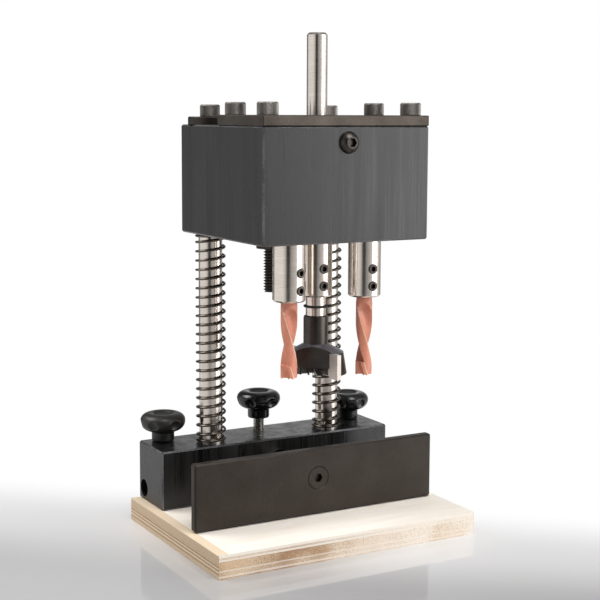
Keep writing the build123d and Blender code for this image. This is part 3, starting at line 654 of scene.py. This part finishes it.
def birch_plywood(thickness):
    """Sanded plywood: pale face veneers along X, rough pitted cores, and glue lines at the ends.

    The pits are about half a millimetre apart, coarser than real pores, so that they show.
    """
    made, tree, shader = material("birch_plywood")
    sides = add(tree, "ShaderNodeTexCoord")
    where = sides.outputs["Object"]
    apart = add(tree, "ShaderNodeSeparateXYZ", {"Vector": where})
    facing = add(tree, "ShaderNodeSeparateXYZ", {"Vector": sides.outputs["Normal"]})
    height = add(
        tree, "ShaderNodeMapRange", {"Value": apart.outputs["Z"], "From Max": thickness * MM}
    ).outputs["Result"]
    grains = []
    for stretch, spacing, detail, roughness in (
        ((0.12, 0.8, 1.0), 3.2, 7.0, 0.62),
        ((1.0, 0.03, 0.8), 0.75, 6.0, 0.78),
        ((1.0, 0.2, 1.0), 26, 2.0, 0.6),
        ((1.0, 1.0, 1.0), 0.55, 2.0, 0.6),
    ):
        along = add(tree, "ShaderNodeMapping", {"Vector": where, "Scale": stretch}).outputs["Vector"]
        scale = per_mm(spacing)
        grains.append(
            add(
                tree,
                "ShaderNodeTexNoise",
                {"Vector": along, "Scale": scale, "Detail": detail, "Roughness": roughness},
            ).outputs["Fac"]
        )
    face_grain, core_grain, patches, specks = grains

    # Face veneer, and the strip of the top that has lost it
    face_tone = add(
        tree,
        "ShaderNodeMix",
        {0: face_grain, MIX_A: linear("#efdfca"), MIX_B: linear("#fffcf8")},
        data_type="RGBA",
    )
    at_end = add(
        tree, "ShaderNodeMath", {0: apart.outputs["X"], 1: BARE_STRIP_END * MM}, operation="LESS_THAN"
    )
    bare = add(tree, "ShaderNodeMath", {0: at_end.outputs[0], 1: facing.outputs["Z"]}, operation="MULTIPLY")
    top = add(
        tree,
        "ShaderNodeMix",
        {0: bare.outputs[0], MIX_A: face_tone.outputs[MIX_RESULT], MIX_B: linear("#e4d0b4")},
        data_type="RGBA",
    )

    # Core veneers on the long edges, brown and pale by the grain, with painted shade browning them at the
    # left and painted light paling them at the right
    painted_light_share = add(
        tree,
        "ShaderNodeMapRange",
        {
            "Value": apart.outputs["X"],
            "From Min": EDGE_PAINTED_LIGHT[0] * MM,
            "From Max": EDGE_PAINTED_LIGHT[1] * MM,
        },
    )
    brown = add(
        tree,
        "ShaderNodeMix",
        {0: painted_light_share.outputs["Result"], MIX_A: linear("#97683f"), MIX_B: linear("#e4c6a2")},
        data_type="RGBA",
    )
    pale = add(
        tree,
        "ShaderNodeMix",
        {0: painted_light_share.outputs["Result"], MIX_A: linear("#e0c09b"), MIX_B: linear("#fdf3e6")},
        data_type="RGBA",
    )
    fibre = add(tree, "ShaderNodeMath", {0: core_grain, 1: patches}, operation="ADD")
    contrast = add(tree, "ShaderNodeMapRange", {"Value": fibre.outputs[0], "From Min": 0.84, "From Max": 1.1})
    core_tone = add(
        tree,
        "ShaderNodeMix",
        {0: contrast.outputs["Result"], MIX_A: brown.outputs[MIX_RESULT], MIX_B: pale.outputs[MIX_RESULT]},
        data_type="RGBA",
    )
    in_core = add(tree, "ShaderNodeValToRGB", {"Fac": height}, stops=EDGE_LAYERS).outputs["Color"]
    front = add(
        tree,
        "ShaderNodeMix",
        {0: in_core, MIX_A: top.outputs[MIX_RESULT], MIX_B: core_tone.outputs[MIX_RESULT]},
        data_type="RGBA",
    )

    # Sawn ends with their layers and glue lines, then the pits, painted dark as shade in the core's small
    # voids, and the torn fibres of the cores
    layers = add(tree, "ShaderNodeValToRGB", {"Fac": height}, stops=END_LAYERS).outputs["Color"]
    end = add(
        tree,
        "ShaderNodeMix",
        {0: layers, MIX_A: linear("#efdcc0"), MIX_B: linear("#a9825a")},
        data_type="RGBA",
    )
    sideways = add(tree, "ShaderNodeMath", {0: facing.outputs["X"]}, operation="ABSOLUTE")
    on_end = add(tree, "ShaderNodeMath", {0: sideways.outputs[0], 1: 0.5}, operation="GREATER_THAN")
    ply = add(
        tree,
        "ShaderNodeMix",
        {0: on_end.outputs[0], MIX_A: front.outputs[MIX_RESULT], MIX_B: end.outputs[MIX_RESULT]},
        data_type="RGBA",
    )
    # Pits painted dark brown: painted shade inside the core's small voids
    pits = add(tree, "ShaderNodeMapRange", {"Value": specks, "From Min": 0.58, "From Max": 0.68})
    pitted = add(tree, "ShaderNodeMath", {0: pits.outputs["Result"], 1: in_core}, operation="MULTIPLY")
    pit_shaded = add(
        tree,
        "ShaderNodeMix",
        {0: pitted.outputs[0], MIX_A: ply.outputs[MIX_RESULT], MIX_B: linear("#6d4f36")},
        data_type="RGBA",
    )
    torn = add(tree, "ShaderNodeMath", {0: core_grain, 1: in_core}, operation="MULTIPLY")
    bump = add(tree, "ShaderNodeBump", {"Height": torn.outputs[0], "Strength": 0.7, "Distance": 0.5 * MM})
    add(
        tree,
        shader,
        {"Base Color": pit_shaded.outputs[MIX_RESULT], "Roughness": 0.66, "Normal": bump.outputs["Normal"]},
    )
    return made


MATERIALS = {
    "birch_plywood": birch_plywood(levels("plywood_board")[1]),
    "black_anodised_aluminium": black_anodised_aluminium(),
    # Flat steel, hot browned and oiled: a warm, dull black
    "browned_steel": steel("browned_steel", "#3b3632", "#443f3b", (0.4, 0.5), (1.0, 1.0, 0.3), 0.9),
    # The same made lighter, for the head's cover
    "lighter_browned_steel": steel(
        "lighter_browned_steel", "#3f3a35", "#5f5852", (0.42, 0.55), (1.0, 1.0, 0.3), 0.7
    ),
    # Hardened steel, turned and black oxidised: dark grey that still mirrors
    "black_oxide_steel": steel("black_oxide_steel", "#3a3734", "#55514d", (0.28, 0.42), spacing=0.5),
    # The same on screw heads, lightened to grey: painted sheen for the light their knurls catch
    "painted_sheen_oxide_steel": steel("painted_sheen_oxide_steel", "#5f5b58", "#8b8681", (0.4, 0.52), (1.0, 1.0, 0.3), 0.7),
    # Steel ground round: bright and a little warm, its marks round the axis
    "ground_steel": steel("ground_steel", "#cdc4bb", "#e6ddd4", (0.15, 0.25), (0.04, 0.04, 1.0), 0.3, 0.03),
    # Pale grey bevels: partly bare aluminium where an edge has lost its black, partly painted highlight of
    # the light the bevel catches: a thin grey line
    "worn_and_highlit_anodising": steel("worn_and_highlit_anodising", "#4c4c4e", "#858587", (0.34, 0.46), spacing=0.9),
    # Spring wire, drawn and oiled: dark with a hard shine
    "spring_steel": steel("spring_steel", "#443f3a", "#6a635d", (0.24, 0.36)),
    # Gear steel as the hob leaves it: plain bright grey
    "gear_steel": steel("gear_steel", "#8c8a87", "#b5b3af", (0.3, 0.45)),
    # Bronze pressed from powder: brown gold, open and dull
    "sintered_bronze": steel("sintered_bronze", "#80592f", "#b28a52", (0.45, 0.65), spacing=0.3, relief=0.3),
    # Steel plated with zinc: pale, bright and faintly cloudy
    "zinc_plated_steel": steel("zinc_plated_steel", "#a9a79f", "#dcdad4", (0.18, 0.3)),
    # A facet as the grinding wheel leaves it: satin grey
    "ground_facet": steel("ground_facet", "#77757a", "#96949a", (0.3, 0.42), spacing=0.4, metallic=0.8),
    # Brazed carbide, ground fine: pale and satin
    "carbide": steel("carbide", "#b5aca4", "#c9c0b8", (0.3, 0.4), spacing=0.4, metallic=0.6),
    # Low-friction coating, sprayed and cured: a soft orange with a satin shine
    "orange_coating": coating("orange_coating", "#cf7a60", "#e09a80", 0.36),
    # The same on the land edges, pale cream: coating worn thin there, and painted highlight of the light the
    # edges catch
    "worn_and_highlit_coating_edge": coating("worn_and_highlit_coating_edge", "#f0cba8", "#fbe3c6", 0.3),
    # Moulded rubber: deep black, matt
    "black_rubber": plastic("black_rubber", "#161616", (0.5, 0.8), 0.6),
    # Phenolic resin from a polished mould: black and glossy
    "black_knob_plastic": plastic("black_knob_plastic", "#131314", (0.14, 0.26), 3.5),
    # The same dulled by hands
    "worn_knob_plastic": plastic("worn_knob_plastic", "#1d1b19", (0.36, 0.5), 1.2),
}

slots = {part["node"]: part["material_slot"] for part in frame["record"]["subparts"]}
groups = frame["record"]["behaviour"]["bodies"]
bodies = {node: body for body, members in groups.items() for node in members}
for name, node in frame["nodes"].items():
    node.data.materials.clear()
    node.data.materials.append(MATERIALS[slots[name]])


# Pieces


def spring(side):
    """A compression spring: a closed coil at each end and open coils between."""
    node = f"{side}_spring"
    low, high = levels(node)
    column = middle(f"{side}_column")
    spring_low, spring_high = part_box(node)
    coil_radius = (spring_high.x - spring_low.x) / 2 / MM - SPRING_WIRE / 2
    bottom = low + SPRING_WIRE / 2
    open_rise = high - low - 3 * SPRING_WIRE
    stretches = [
        (bottom, 1, SPRING_WIRE),
        (bottom + SPRING_WIRE, SPRING_TURNS, open_rise / SPRING_TURNS),
        (bottom + SPRING_WIRE + open_rise, 1, SPRING_WIRE),
    ]
    coils = []
    for start, turns, pitch in stretches:
        bpy.ops.object.select_all(action="DESELECT")
        bpy.ops.mesh.primitive_circle_add(
            vertices=WIRE_SIDES,
            radius=SPRING_WIRE / 2 * MM,
            location=(coil_radius * MM, 0, start * MM),
            rotation=(pi / 2, 0, 0),
        )
        coil = bpy.context.object
        bpy.ops.object.transform_apply(location=True, rotation=True, scale=True)
        screw = coil.modifiers.new("coil", "SCREW")
        screw.axis = "Z"
        screw.screw_offset = pitch * MM
        screw.iterations = turns
        screw.steps = COIL_STEPS
        screw.render_steps = COIL_STEPS
        apply_modifiers(coil)
        coils.append(coil)
    piece = join(*coils)
    open_mesh(piece)
    bpy.ops.mesh.select_all(action="SELECT")
    bpy.ops.mesh.remove_doubles(threshold=COIL_WELD * MM)
    bpy.ops.mesh.select_all(action="SELECT")
    bpy.ops.mesh.fill_holes(sides=0)
    close_mesh()
    place(piece, (column.x, column.y, 0))
    finish(
        piece,
        f"{side}_coil_spring",
        "base",
        "spring_steel",
        MATERIALS["spring_steel"],
        replaces=[node],
    )
    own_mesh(piece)


for side in ("left", "right"):
    spring(side)


def socket_cap_screw(name, reach):
    """An M6 cap screw standing on Z = 0: knurled head, hexagon socket and plain shank."""
    edge = 0.6
    head = turned(
        name,
        [
            (CAP_HEAD_RADIUS - 0.2, 0),
            (CAP_HEAD_RADIUS, 0.2),
            (CAP_HEAD_RADIUS, CAP_HEAD_HEIGHT - edge),
            (CAP_HEAD_RADIUS - edge, CAP_HEAD_HEIGHT),
        ],
        sides=2 * KNURL_TEETH,
    )
    open_mesh(head)
    tooth = 2 * pi / KNURL_TEETH

    def in_groove(spot):
        share = (bearing(spot) / tooth) % 1
        return 0.25 < share < 0.75 and hypot(spot.x, spot.y) > CAP_HEAD_RADIUS - 0.1

    select_vertices(in_groove)
    narrow = 1 - KNURL_DEPTH / CAP_HEAD_RADIUS
    bpy.ops.transform.resize(value=(narrow, narrow, 1), center_override=(0, 0, 0))
    close_mesh()
    cut(head, socket_tool(SOCKET_FLATS, CAP_HEAD_HEIGHT, SOCKET_DEPTH))
    profile = [(SCREW_RADIUS - 0.5, -reach), (SCREW_RADIUS, 0.5 - reach), (SCREW_RADIUS, 0.1)]
    return join(head, turned("shank", profile, 32))


def cap_screws(node, body):
    """One cap screw for each solid of a CAD node, found by the heads' places."""
    low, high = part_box(node)
    reach = (high.z - low.z) / MM - CAP_HEAD_HEIGHT
    seat = high.z / MM - CAP_HEAD_HEIGHT
    xs = [low.x / MM + CAP_HEAD_RADIUS, high.x / MM - CAP_HEAD_RADIUS]
    ys = [low.y / MM + CAP_HEAD_RADIUS, high.y / MM - CAP_HEAD_RADIUS]
    rows = ys if ys[1] - ys[0] > CAP_HEAD_RADIUS else ys[:1]
    first = socket_cap_screw(node, reach)
    screws = []
    for column, x in enumerate(xs):
        for row, y in enumerate(rows):
            screws.append(place(copy(first), (x, y, seat), (0, 0, 23 * column + 41 * row)))
    bpy.data.objects.remove(first)
    # The knurled heads take the lightened oxide: its grey is painted sheen
    finish(
        join(*screws),
        f"knurled_{node}",
        body,
        "black_oxide_steel",
        MATERIALS["painted_sheen_oxide_steel"],
        replaces=[node],
        angle=24,
    )


cap_screws("cover_screws", "head")
cap_screws("column_screws", "base")


def knob(side):
    """A clamp knob: a round hub, a full rounded head with six thumb dishes and a sunk cap on top."""
    node = f"{side}_knob"
    low, high = levels(node)
    centre = middle(node)
    head = low + KNOB_HUB_HEIGHT

    # Radius and level of each ring, up the hub, out over the head and in to the sunk cap
    rings = [
        (5.1, low),
        (5.7, low + 0.25),
        (5.8, low + 0.9),
        (5.8, head - 0.9),
        (5.85, head - 0.3),
        (7.3, head + 0.05),
        (9.3, head + 0.75),
        (10.8, head + 2.2),
        (11.6, head + 4.0),
        (11.75, head + 5.4),
        (11.35, head + 6.9),
        (10.3, head + 8.2),
        (8.7, head + 9.05),
        (7.0, high),
        (5.6, high - 0.1),
        (4.8, high - 0.5),
        (4.5, high - 0.85),
        (3.6, high - 0.95),
        (0.3, high - 0.95),
    ]
    piece = turned(node, rings, 48)
    soft = piece.modifiers.new("round", "SUBSURF")
    soft.levels = 2
    soft.render_levels = 2
    apply_modifiers(piece)
    for dish in range(KNOB_DISHES):
        x, y = polar(DISH_CENTRE, DISH_TURN + 360 * dish / KNOB_DISHES)
        bpy.ops.mesh.primitive_uv_sphere_add(
            segments=64,
            ring_count=32,
            radius=DISH_RADIUS * MM,
            location=Vector((x, y, head + DISH_HEIGHT)) * MM,
        )
        cut(piece, bpy.context.object)
    place(piece, (centre.x, centre.y, 0))
    piece.data.materials.append(MATERIALS["worn_knob_plastic" if side == "left" else "black_knob_plastic"])
    piece.data.materials.append(MATERIALS["black_rubber"])
    for face in piece.data.polygons:
        spot = face.center / MM
        if hypot(spot.x - centre.x, spot.y - centre.y) < KNOB_CAP_RADIUS and spot.z > high - 1.5:
            face.material_index = 1
    finish(
        piece, f"{side}_dished_knob", f"{side}_clamp", "black_knob_plastic", replaces=[node], angle=26
    )


def knob_stud(side):
    """The knob's stud: M6 thread up to the hub, plain where it is moulded in."""
    node = f"{side}_knob_stud"
    low, high = levels(node)
    hub = levels(f"{side}_knob")[0]
    centre = middle(node)
    screw = thread(node, SCREW_RADIUS - 0.02, STUD_PITCH, low, hub + 0.5)
    envelope = turned("envelope", [(2.3, low), (SCREW_RADIUS, low + 0.7), (SCREW_RADIUS, hub + 1)], 48)
    cut(screw, envelope, "INTERSECT")
    plain = turned("plain", [(SCREW_RADIUS - 0.05, hub + 0.4), (SCREW_RADIUS - 0.05, high)], 48)
    piece = place(join(screw, plain), (centre.x, centre.y, 0))
    finish(
        piece,
        f"{side}_threaded_stud",
        f"{side}_stud",
        "zinc_plated_steel",
        MATERIALS["zinc_plated_steel"],
        replaces=[node],
    )


for side in ("left", "middle", "right"):
    knob(side)
    knob_stud(side)


def depth_stop():
    """The depth stop's rod, threaded all along, with a hexagon socket in its top."""
    low, high = levels("depth_stop_rod")
    centre = middle("depth_stop_rod")
    screw = thread("depth_stop_rod", STOP_RADIUS, STOP_PITCH, low - 0.5, high + 0.5)
    ends = [
        (STOP_RADIUS - 0.9, low),
        (STOP_RADIUS, low + STOP_END),
        (STOP_RADIUS, high - STOP_END),
        (STOP_RADIUS - 0.9, high),
    ]
    cut(screw, turned("envelope", ends, 64), "INTERSECT")
    cut(screw, socket_tool(STOP_SOCKET, high, STOP_SOCKET))
    piece = place(screw, (centre.x, centre.y, 0))
    finish(
        piece,
        "threaded_stop_rod",
        "depth_stop",
        "black_oxide_steel",
        MATERIALS["black_oxide_steel"],
        replaces=["depth_stop_rod"],
    )


depth_stop()


def dowel_drill(side, grub_turn, flute_turn, body):
    """A left-hand drill: flutes that run out under the neck and narrow in the head, and land edges painted
    pale for worn coating and painted highlight.
    """
    node = f"{side}_drill"
    tip, top = levels(node)
    spindle_end = levels(f"{side}_spindle")[0]
    centre = middle(f"{side}_spindle")
    bottom = tip + DRILL_POINT
    neck = spindle_end - DRILL_NECK
    head_top = bottom + DRILL_HEAD
    count = int((neck - bottom) / DRILL_STEP)
    lands = [(DRILL_RADIUS, neck - index * (neck - bottom) / count) for index in range(count + 1)]
    shank = [(SHANK_RADIUS - 0.5, top), (SHANK_RADIUS, top - 0.5), (SHANK_RADIUS, spindle_end)]
    point = [(0.9, bottom), (0.1, tip)]
    piece = turned(node, shank + [(DRILL_RADIUS, spindle_end - 0.01)] + lands + point, DRILL_SIDES)
    open_mesh(piece)
    shape = bmesh.from_edit_mesh(piece.data)
    half_turn = DRILL_SIDES // 2
    spur = round(DRILL_SIDES / 8)

    def twist(level):
        return radians(flute_turn - 360 * (level - bottom) / DRILL_PITCH)

    # A flute is a round groove about a centre outside the drill, which moves away where the flute runs out.
    # Each vertex is drawn in to it and turned with it, and those at the head's corners drop as spurs
    for vertex in shape.verts:
        level = vertex.co.z / MM
        if level > neck + 0.01 or hypot(vertex.co.x, vertex.co.y) < 2 * MM:
            continue
        around = bearing(vertex.co)
        off_flute = abs((around / pi * half_turn) % half_turn - half_turn / 2)
        lean = off_flute * pi / half_turn
        fade = min(max((level - neck + DRILL_RUNOUT) / DRILL_RUNOUT, 0.0), 1.0)
        centre_radius = FLUTE_CENTRE + (FLUTE_END_CENTRE - FLUTE_CENTRE) * fade**2
        flute_radius = FLUTE_RADIUS if level > head_top else HEAD_FLUTE_RADIUS
        reach = flute_radius**2 - (centre_radius * sin(lean)) ** 2
        radius = DRILL_RADIUS
        if reach > 0:
            radius = min(radius, centre_radius * cos(lean) - sqrt(reach))
        if level < bottom + 0.01 and spur <= off_flute <= spur + 2:
            vertex.co.z -= DRILL_SPUR * MM
        turn = around + twist(level)
        vertex.co.x = radius * cos(turn) * MM
        vertex.co.y = radius * sin(turn) * MM
    bmesh.update_edit_mesh(piece.data)
    close_mesh()
    piece.data.materials.append(MATERIALS["orange_coating"])
    piece.data.materials.append(MATERIALS["worn_and_highlit_coating_edge"])
    # Pale strips along both edges of each land: worn coating and painted highlight
    for face in piece.data.polygons:
        spot = face.center / MM
        if not bottom < spot.z < neck or hypot(spot.x, spot.y) < DRILL_RADIUS - 0.1:
            continue
        past_land = ((bearing(spot) - twist(spot.z)) / pi * half_turn) % half_turn
        right_edge = LAND_STEPS - EDGE_STEPS < past_land < LAND_STEPS
        left_edge = half_turn - LAND_STEPS < past_land < half_turn - LAND_STEPS + 1
        if (right_edge or left_edge) and spot.z < neck - DRILL_RUNOUT / 2:
            face.material_index = 1
    cut(piece, shank_flat(spindle_end - 0.01, top + 1, grub_turn))
    place(piece, (centre.x, centre.y, 0))
    finish(piece, f"{side}_fluted_drill", body, "orange_coating", replaces=[node])


dowel_drill("left", LEFT_GRUB_TURN, LEFT_FLUTE_TURN, "left_drive")
dowel_drill("right", 0, RIGHT_FLUTE_TURN, "right_drive")


def hinge_cutter():
    """The hinge cutter: bright shank, black body and two wings, each led by a carbide edge."""
    top = levels("hinge_bit")[1]
    end = levels("centre_spindle")[0]
    centre = middle("centre_spindle")
    profile = [
        (SHANK_RADIUS - 0.5, top),
        (SHANK_RADIUS, top - 0.5),
        (SHANK_RADIUS, end - SHANK_SHOWN),
        (CUTTER_BODY_RADIUS - 0.3, end - SHANK_SHOWN - 0.4),
        (CUTTER_BODY_RADIUS, end - SHANK_SHOWN - 1.4),
        (CUTTER_BODY_RADIUS, end - CONE_TOP),
        (CUTTER_RIM_RADIUS, end - WING_TOP),
        (CUTTER_FOOT_RADIUS, end - WING_BOTTOM),
        (1.0, end - WING_BOTTOM),
    ]
    piece = turned("hinge_bit", profile)
    cut(piece, shank_flat(end, top + 1))
    gullets, hollows = [], []
    for half_turn in (0, 180):
        lead = CUTTER_TURN + half_turn
        trail = lead - CUTTER_GULLET
        between = lead - CUTTER_GULLET / 2
        web_edges = [polar(EDGE_INNER_RADIUS, lead), polar(EDGE_INNER_RADIUS, trail)]
        far_corners = [
            polar(GULLET_REACH, trail),
            polar(GULLET_MIDDLE_REACH, between),
            polar(GULLET_REACH, lead),
        ]
        gullets.append(slab("gullet", web_edges + far_corners, end - EDGE_BOTTOM - 1, end - CONE_TOP))
        inner = [polar(POINT_RADIUS / 2, between), *web_edges]
        hollows.append(slab("hollow", inner, end - EDGE_BOTTOM - 1, end - WEB_BOTTOM))
    cut(piece, join(*gullets))
    cut(piece, join(*hollows))
    for coat in ("black_oxide_steel", "ground_steel", "ground_facet"):
        piece.data.materials.append(MATERIALS[coat])
    for face in piece.data.polygons:
        if face.center.z / MM > end - SHANK_SHOWN:
            face.material_index = 1
        elif end - WING_TOP < face.center.z / MM < end - CONE_TOP - 0.1:
            face.material_index = 2
    parts = [piece]
    for half_turn in (0, 180):
        for inner, outer, low, high in (
            (EDGE_INNER_RADIUS, CUTTER_RADIUS, EDGE_BOTTOM, EDGE_TOP),
            (POINT_RADIUS, EDGE_INNER_RADIUS, WING_BOTTOM + 0.3, WEB_BOTTOM),
        ):
            outline = [(inner, -0.05), (outer, -0.05), (outer, EDGE_THICKNESS), (inner, EDGE_THICKNESS)]
            blade = slab("carbide_edge", outline, end - low, end - high)
            blade.data.materials.append(MATERIALS["carbide"])
            parts.append(place(blade, (0, 0, 0), (0, 0, CUTTER_TURN + half_turn)))
    point_bottom = end - POINT_BOTTOM
    facets = [(POINT_RADIUS, end - WEB_BOTTOM + 0.1), (POINT_RADIUS, point_bottom + 2), (0.1, point_bottom)]
    point = turned("centre_point", facets, 6)
    point.data.materials.append(MATERIALS["ground_facet"])
    parts.append(point)
    whole = place(join(*parts), (centre.x, centre.y, 0))
    finish(whole, "hinge_cutter", "centre_drive", "black_oxide_steel", replaces=["hinge_bit"])


hinge_cutter()


def smoothed(node):
    """A copy of a CAD node with its loose faces joined, so that round surfaces shade as round."""
    bpy.ops.object.select_all(action="DESELECT")
    piece = copy(frame["nodes"][node])

    # The copy is a piece of the scene, and no CAD node any more
    piece.parent = None
    del piece["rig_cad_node"]
    bpy.ops.mesh.customdata_custom_splitnormals_clear()
    open_mesh(piece)
    close_mesh()
    if node in OTHER_FINISH:
        piece.data.materials[0] = MATERIALS[OTHER_FINISH[node]]
    if node in WORN_AND_HIGHLIT_BLOCKS:
        # Bevels painted pale: worn bare metal and painted highlight
        piece.data.materials.append(MATERIALS["worn_and_highlit_anodising"])
        # A bevel faces two of the axes equally and the third not at all
        for face in piece.data.polygons:
            shares = sorted(abs(share) for share in face.normal)
            if shares[0] < 0.01 and abs(shares[1] - shares[2]) < 0.01:
                face.material_index = 1
    finish(piece, f"smooth_{node}", bodies[node], slots[node], replaces=[node], angle=25)


for name in (
    "base_bar",
    "left_column",
    "right_column",
    "column_washers",
    "head_block",
    "head_cover",
    "grease_plug",
    "left_spindle",
    "centre_spindle",
    "right_spindle",
    "left_grub_screws",
    "centre_grub_screws",
    "right_grub_screws",
    "cutter_ring",
    "depth_stop_nut",
    "fence_plate",
    "fence_rod",
    "fence_screw",
):
    smoothed(name)


# Floor, light and camera


def floor():
    """A lacquered white table: it mirrors the jig softly, carries a painted shadow in front that darkens to
    the right, and fades into the white around it.
    """
    bpy.ops.object.select_all(action="DESELECT")
    bpy.ops.mesh.primitive_circle_add(vertices=128, radius=FLOOR_RADIUS, fill_type="NGON")
    table = bpy.context.object
    table.name = "floor"
    made, tree, shader = material("white_table")
    where = add(tree, "ShaderNodeTexCoord").outputs["Object"]
    apart = add(tree, "ShaderNodeSeparateXYZ", {"Vector": where})
    slanted = add(
        tree, "ShaderNodeMath", {0: apart.outputs["X"], 1: DEPTH_SLANT}, operation="MULTIPLY"
    )
    depth = add(
        tree, "ShaderNodeMath", {0: apart.outputs["Y"], 1: slanted.outputs[0]}, operation="ADD"
    ).outputs[0]
    outwards = add(tree, "ShaderNodeVectorMath", {0: where}, operation="LENGTH").outputs["Value"]
    shares = []
    for distance, (first, last) in ((depth, WHITE_DEPTHS), (outwards, FLOOR_RIM), (depth, SHADOW_FADE_DEPTHS)):
        shares.append(
            add(
                tree,
                "ShaderNodeMapRange",
                {"Value": distance, "From Min": first, "From Max": last},
                interpolation_type="SMOOTHSTEP",
            ).outputs["Result"]
        )
    behind, rim, near = shares
    faded = add(tree, "ShaderNodeMath", {0: behind, 1: rim}, operation="MAXIMUM")
    path = add(tree, "ShaderNodeLightPath")
    share = add(
        tree, "ShaderNodeMath", {0: faded.outputs[0], 1: path.outputs["Is Camera Ray"]}, operation="MULTIPLY"
    )
    white = add(tree, "ShaderNodeEmission", {"Color": (1, 1, 1, 1), "Strength": 1.0})
    # Painted shadow in front of the jig, darker to the right, paling back to the table's grey
    aside = add(
        tree,
        "ShaderNodeMapRange",
        {
            "Value": apart.outputs["X"],
            "From Min": SHADE_SIDES[0],
            "From Max": SHADE_SIDES[1],
            "To Min": 1.0,
            "To Max": 0.0,
        },
    )
    front = add(
        tree,
        "ShaderNodeMix",
        {0: aside.outputs["Result"], MIX_A: linear("#7c7b7d"), MIX_B: linear("#bdbcbc")},
        data_type="RGBA",
    )
    tone = add(
        tree,
        "ShaderNodeMix",
        {0: near, MIX_A: front.outputs[MIX_RESULT], MIX_B: linear("#dedddd")},
        data_type="RGBA",
    )
    add(tree, shader, {"Base Color": tone.outputs[MIX_RESULT], "Roughness": 0.07, "IOR": 1.6})
    blend = add(
        tree,
        "ShaderNodeMixShader",
        {0: share.outputs[0], 1: shader.outputs["BSDF"], 2: white.outputs["Emission"]},
    )
    add(tree, tree.nodes["Material Output"], {"Surface": blend.outputs["Shader"]})
    table.data.materials.append(made)


def softbox(name, point, aim, size, watts):
    """An area lamp at a point, in metres, turned to the point it lights."""
    bpy.ops.object.light_add(type="AREA", location=point)
    lamp = bpy.context.object
    lamp.name = name
    lamp.data.shape = "RECTANGLE"
    lamp.data.size, lamp.data.size_y = size
    lamp.data.energy = watts
    lamp.rotation_euler = (Vector(aim) - Vector(point)).to_track_quat("-Z", "Y").to_euler()


def studio():
    """A white backdrop, a room that metal mirrors with dark and bright parts, and soft lamps."""
    world = bpy.data.worlds.new("studio")
    bpy.context.scene.world = world
    world.use_nodes = True
    tree = world.node_tree
    path = add(tree, "ShaderNodeLightPath")
    towards = add(tree, "ShaderNodeTexCoord").outputs["Generated"]
    apart = add(tree, "ShaderNodeSeparateXYZ", {"Vector": towards})
    facing = add(
        tree, "ShaderNodeMapping", {"Vector": towards, "Rotation": (0, 0, radians(90 + CAMERA_YAW))}
    )
    around = add(
        tree, "ShaderNodeTexGradient", {"Vector": facing.outputs["Vector"]}, gradient_type="RADIAL"
    )
    side = add(tree, "ShaderNodeValToRGB", {"Fac": around.outputs["Fac"]}, stops=ROOM, blend="LINEAR")
    above = add(
        tree,
        "ShaderNodeMapRange",
        {
            "Value": apart.outputs["Z"],
            "From Min": CEILING_HEIGHTS[0],
            "From Max": CEILING_HEIGHTS[1],
            "To Min": 1.0,
            "To Max": CEILING_SHARE,
        },
        interpolation_type="SMOOTHSTEP",
    )
    room = add(
        tree, "ShaderNodeMath", {0: side.outputs["Color"], 1: above.outputs["Result"]}, operation="MULTIPLY"
    )
    mirrored = add(
        tree,
        "ShaderNodeMix",
        {0: path.outputs["Is Glossy Ray"], 2: ROOM_LIGHT, 3: room.outputs[0]},
        data_type="FLOAT",
    )
    seen = add(
        tree,
        "ShaderNodeMath",
        {0: path.outputs["Is Camera Ray"], 1: path.outputs["Is Transmission Ray"]},
        operation="MAXIMUM",
    )
    strength = add(
        tree, "ShaderNodeMix", {0: seen.outputs[0], 2: mirrored.outputs[0], 3: 1.0}, data_type="FLOAT"
    )
    add(tree, tree.nodes["Background"], {"Color": (1, 1, 1, 1), "Strength": strength.outputs[0]})
    for name, lamp in LAMPS.items():
        softbox(name, *lamp)


def camera():
    """The photograph's viewpoint, from its place and its turn, tilt and roll."""
    yaw, pitch, roll = radians(CAMERA_YAW), radians(CAMERA_PITCH), radians(CAMERA_ROLL)
    ahead = Vector((sin(yaw) * cos(pitch), cos(yaw) * cos(pitch), -sin(pitch)))
    level_right = Vector((cos(yaw), -sin(yaw), 0))
    level_up = level_right.cross(ahead)
    right = level_right * cos(roll) + level_up * sin(roll)
    up = level_up * cos(roll) - level_right * sin(roll)
    lens = bpy.data.cameras.new("camera")
    lens.lens = CAMERA_LENS
    lens.sensor_width = SENSOR_WIDTH
    lens.shift_y = CAMERA_SHIFT_Y
    lens.clip_start = 0.01
    eye = bpy.data.objects.new("camera", lens)
    bpy.context.scene.collection.objects.link(eye)
    turn = Matrix((right, up, -ahead)).transposed().to_4x4()
    eye.matrix_world = Matrix.Translation(Vector(CAMERA_PLACE) * MM) @ turn
    bpy.context.scene.camera = eye


floor()
studio()
camera()
bpy.context.scene.view_settings.view_transform = "Standard"
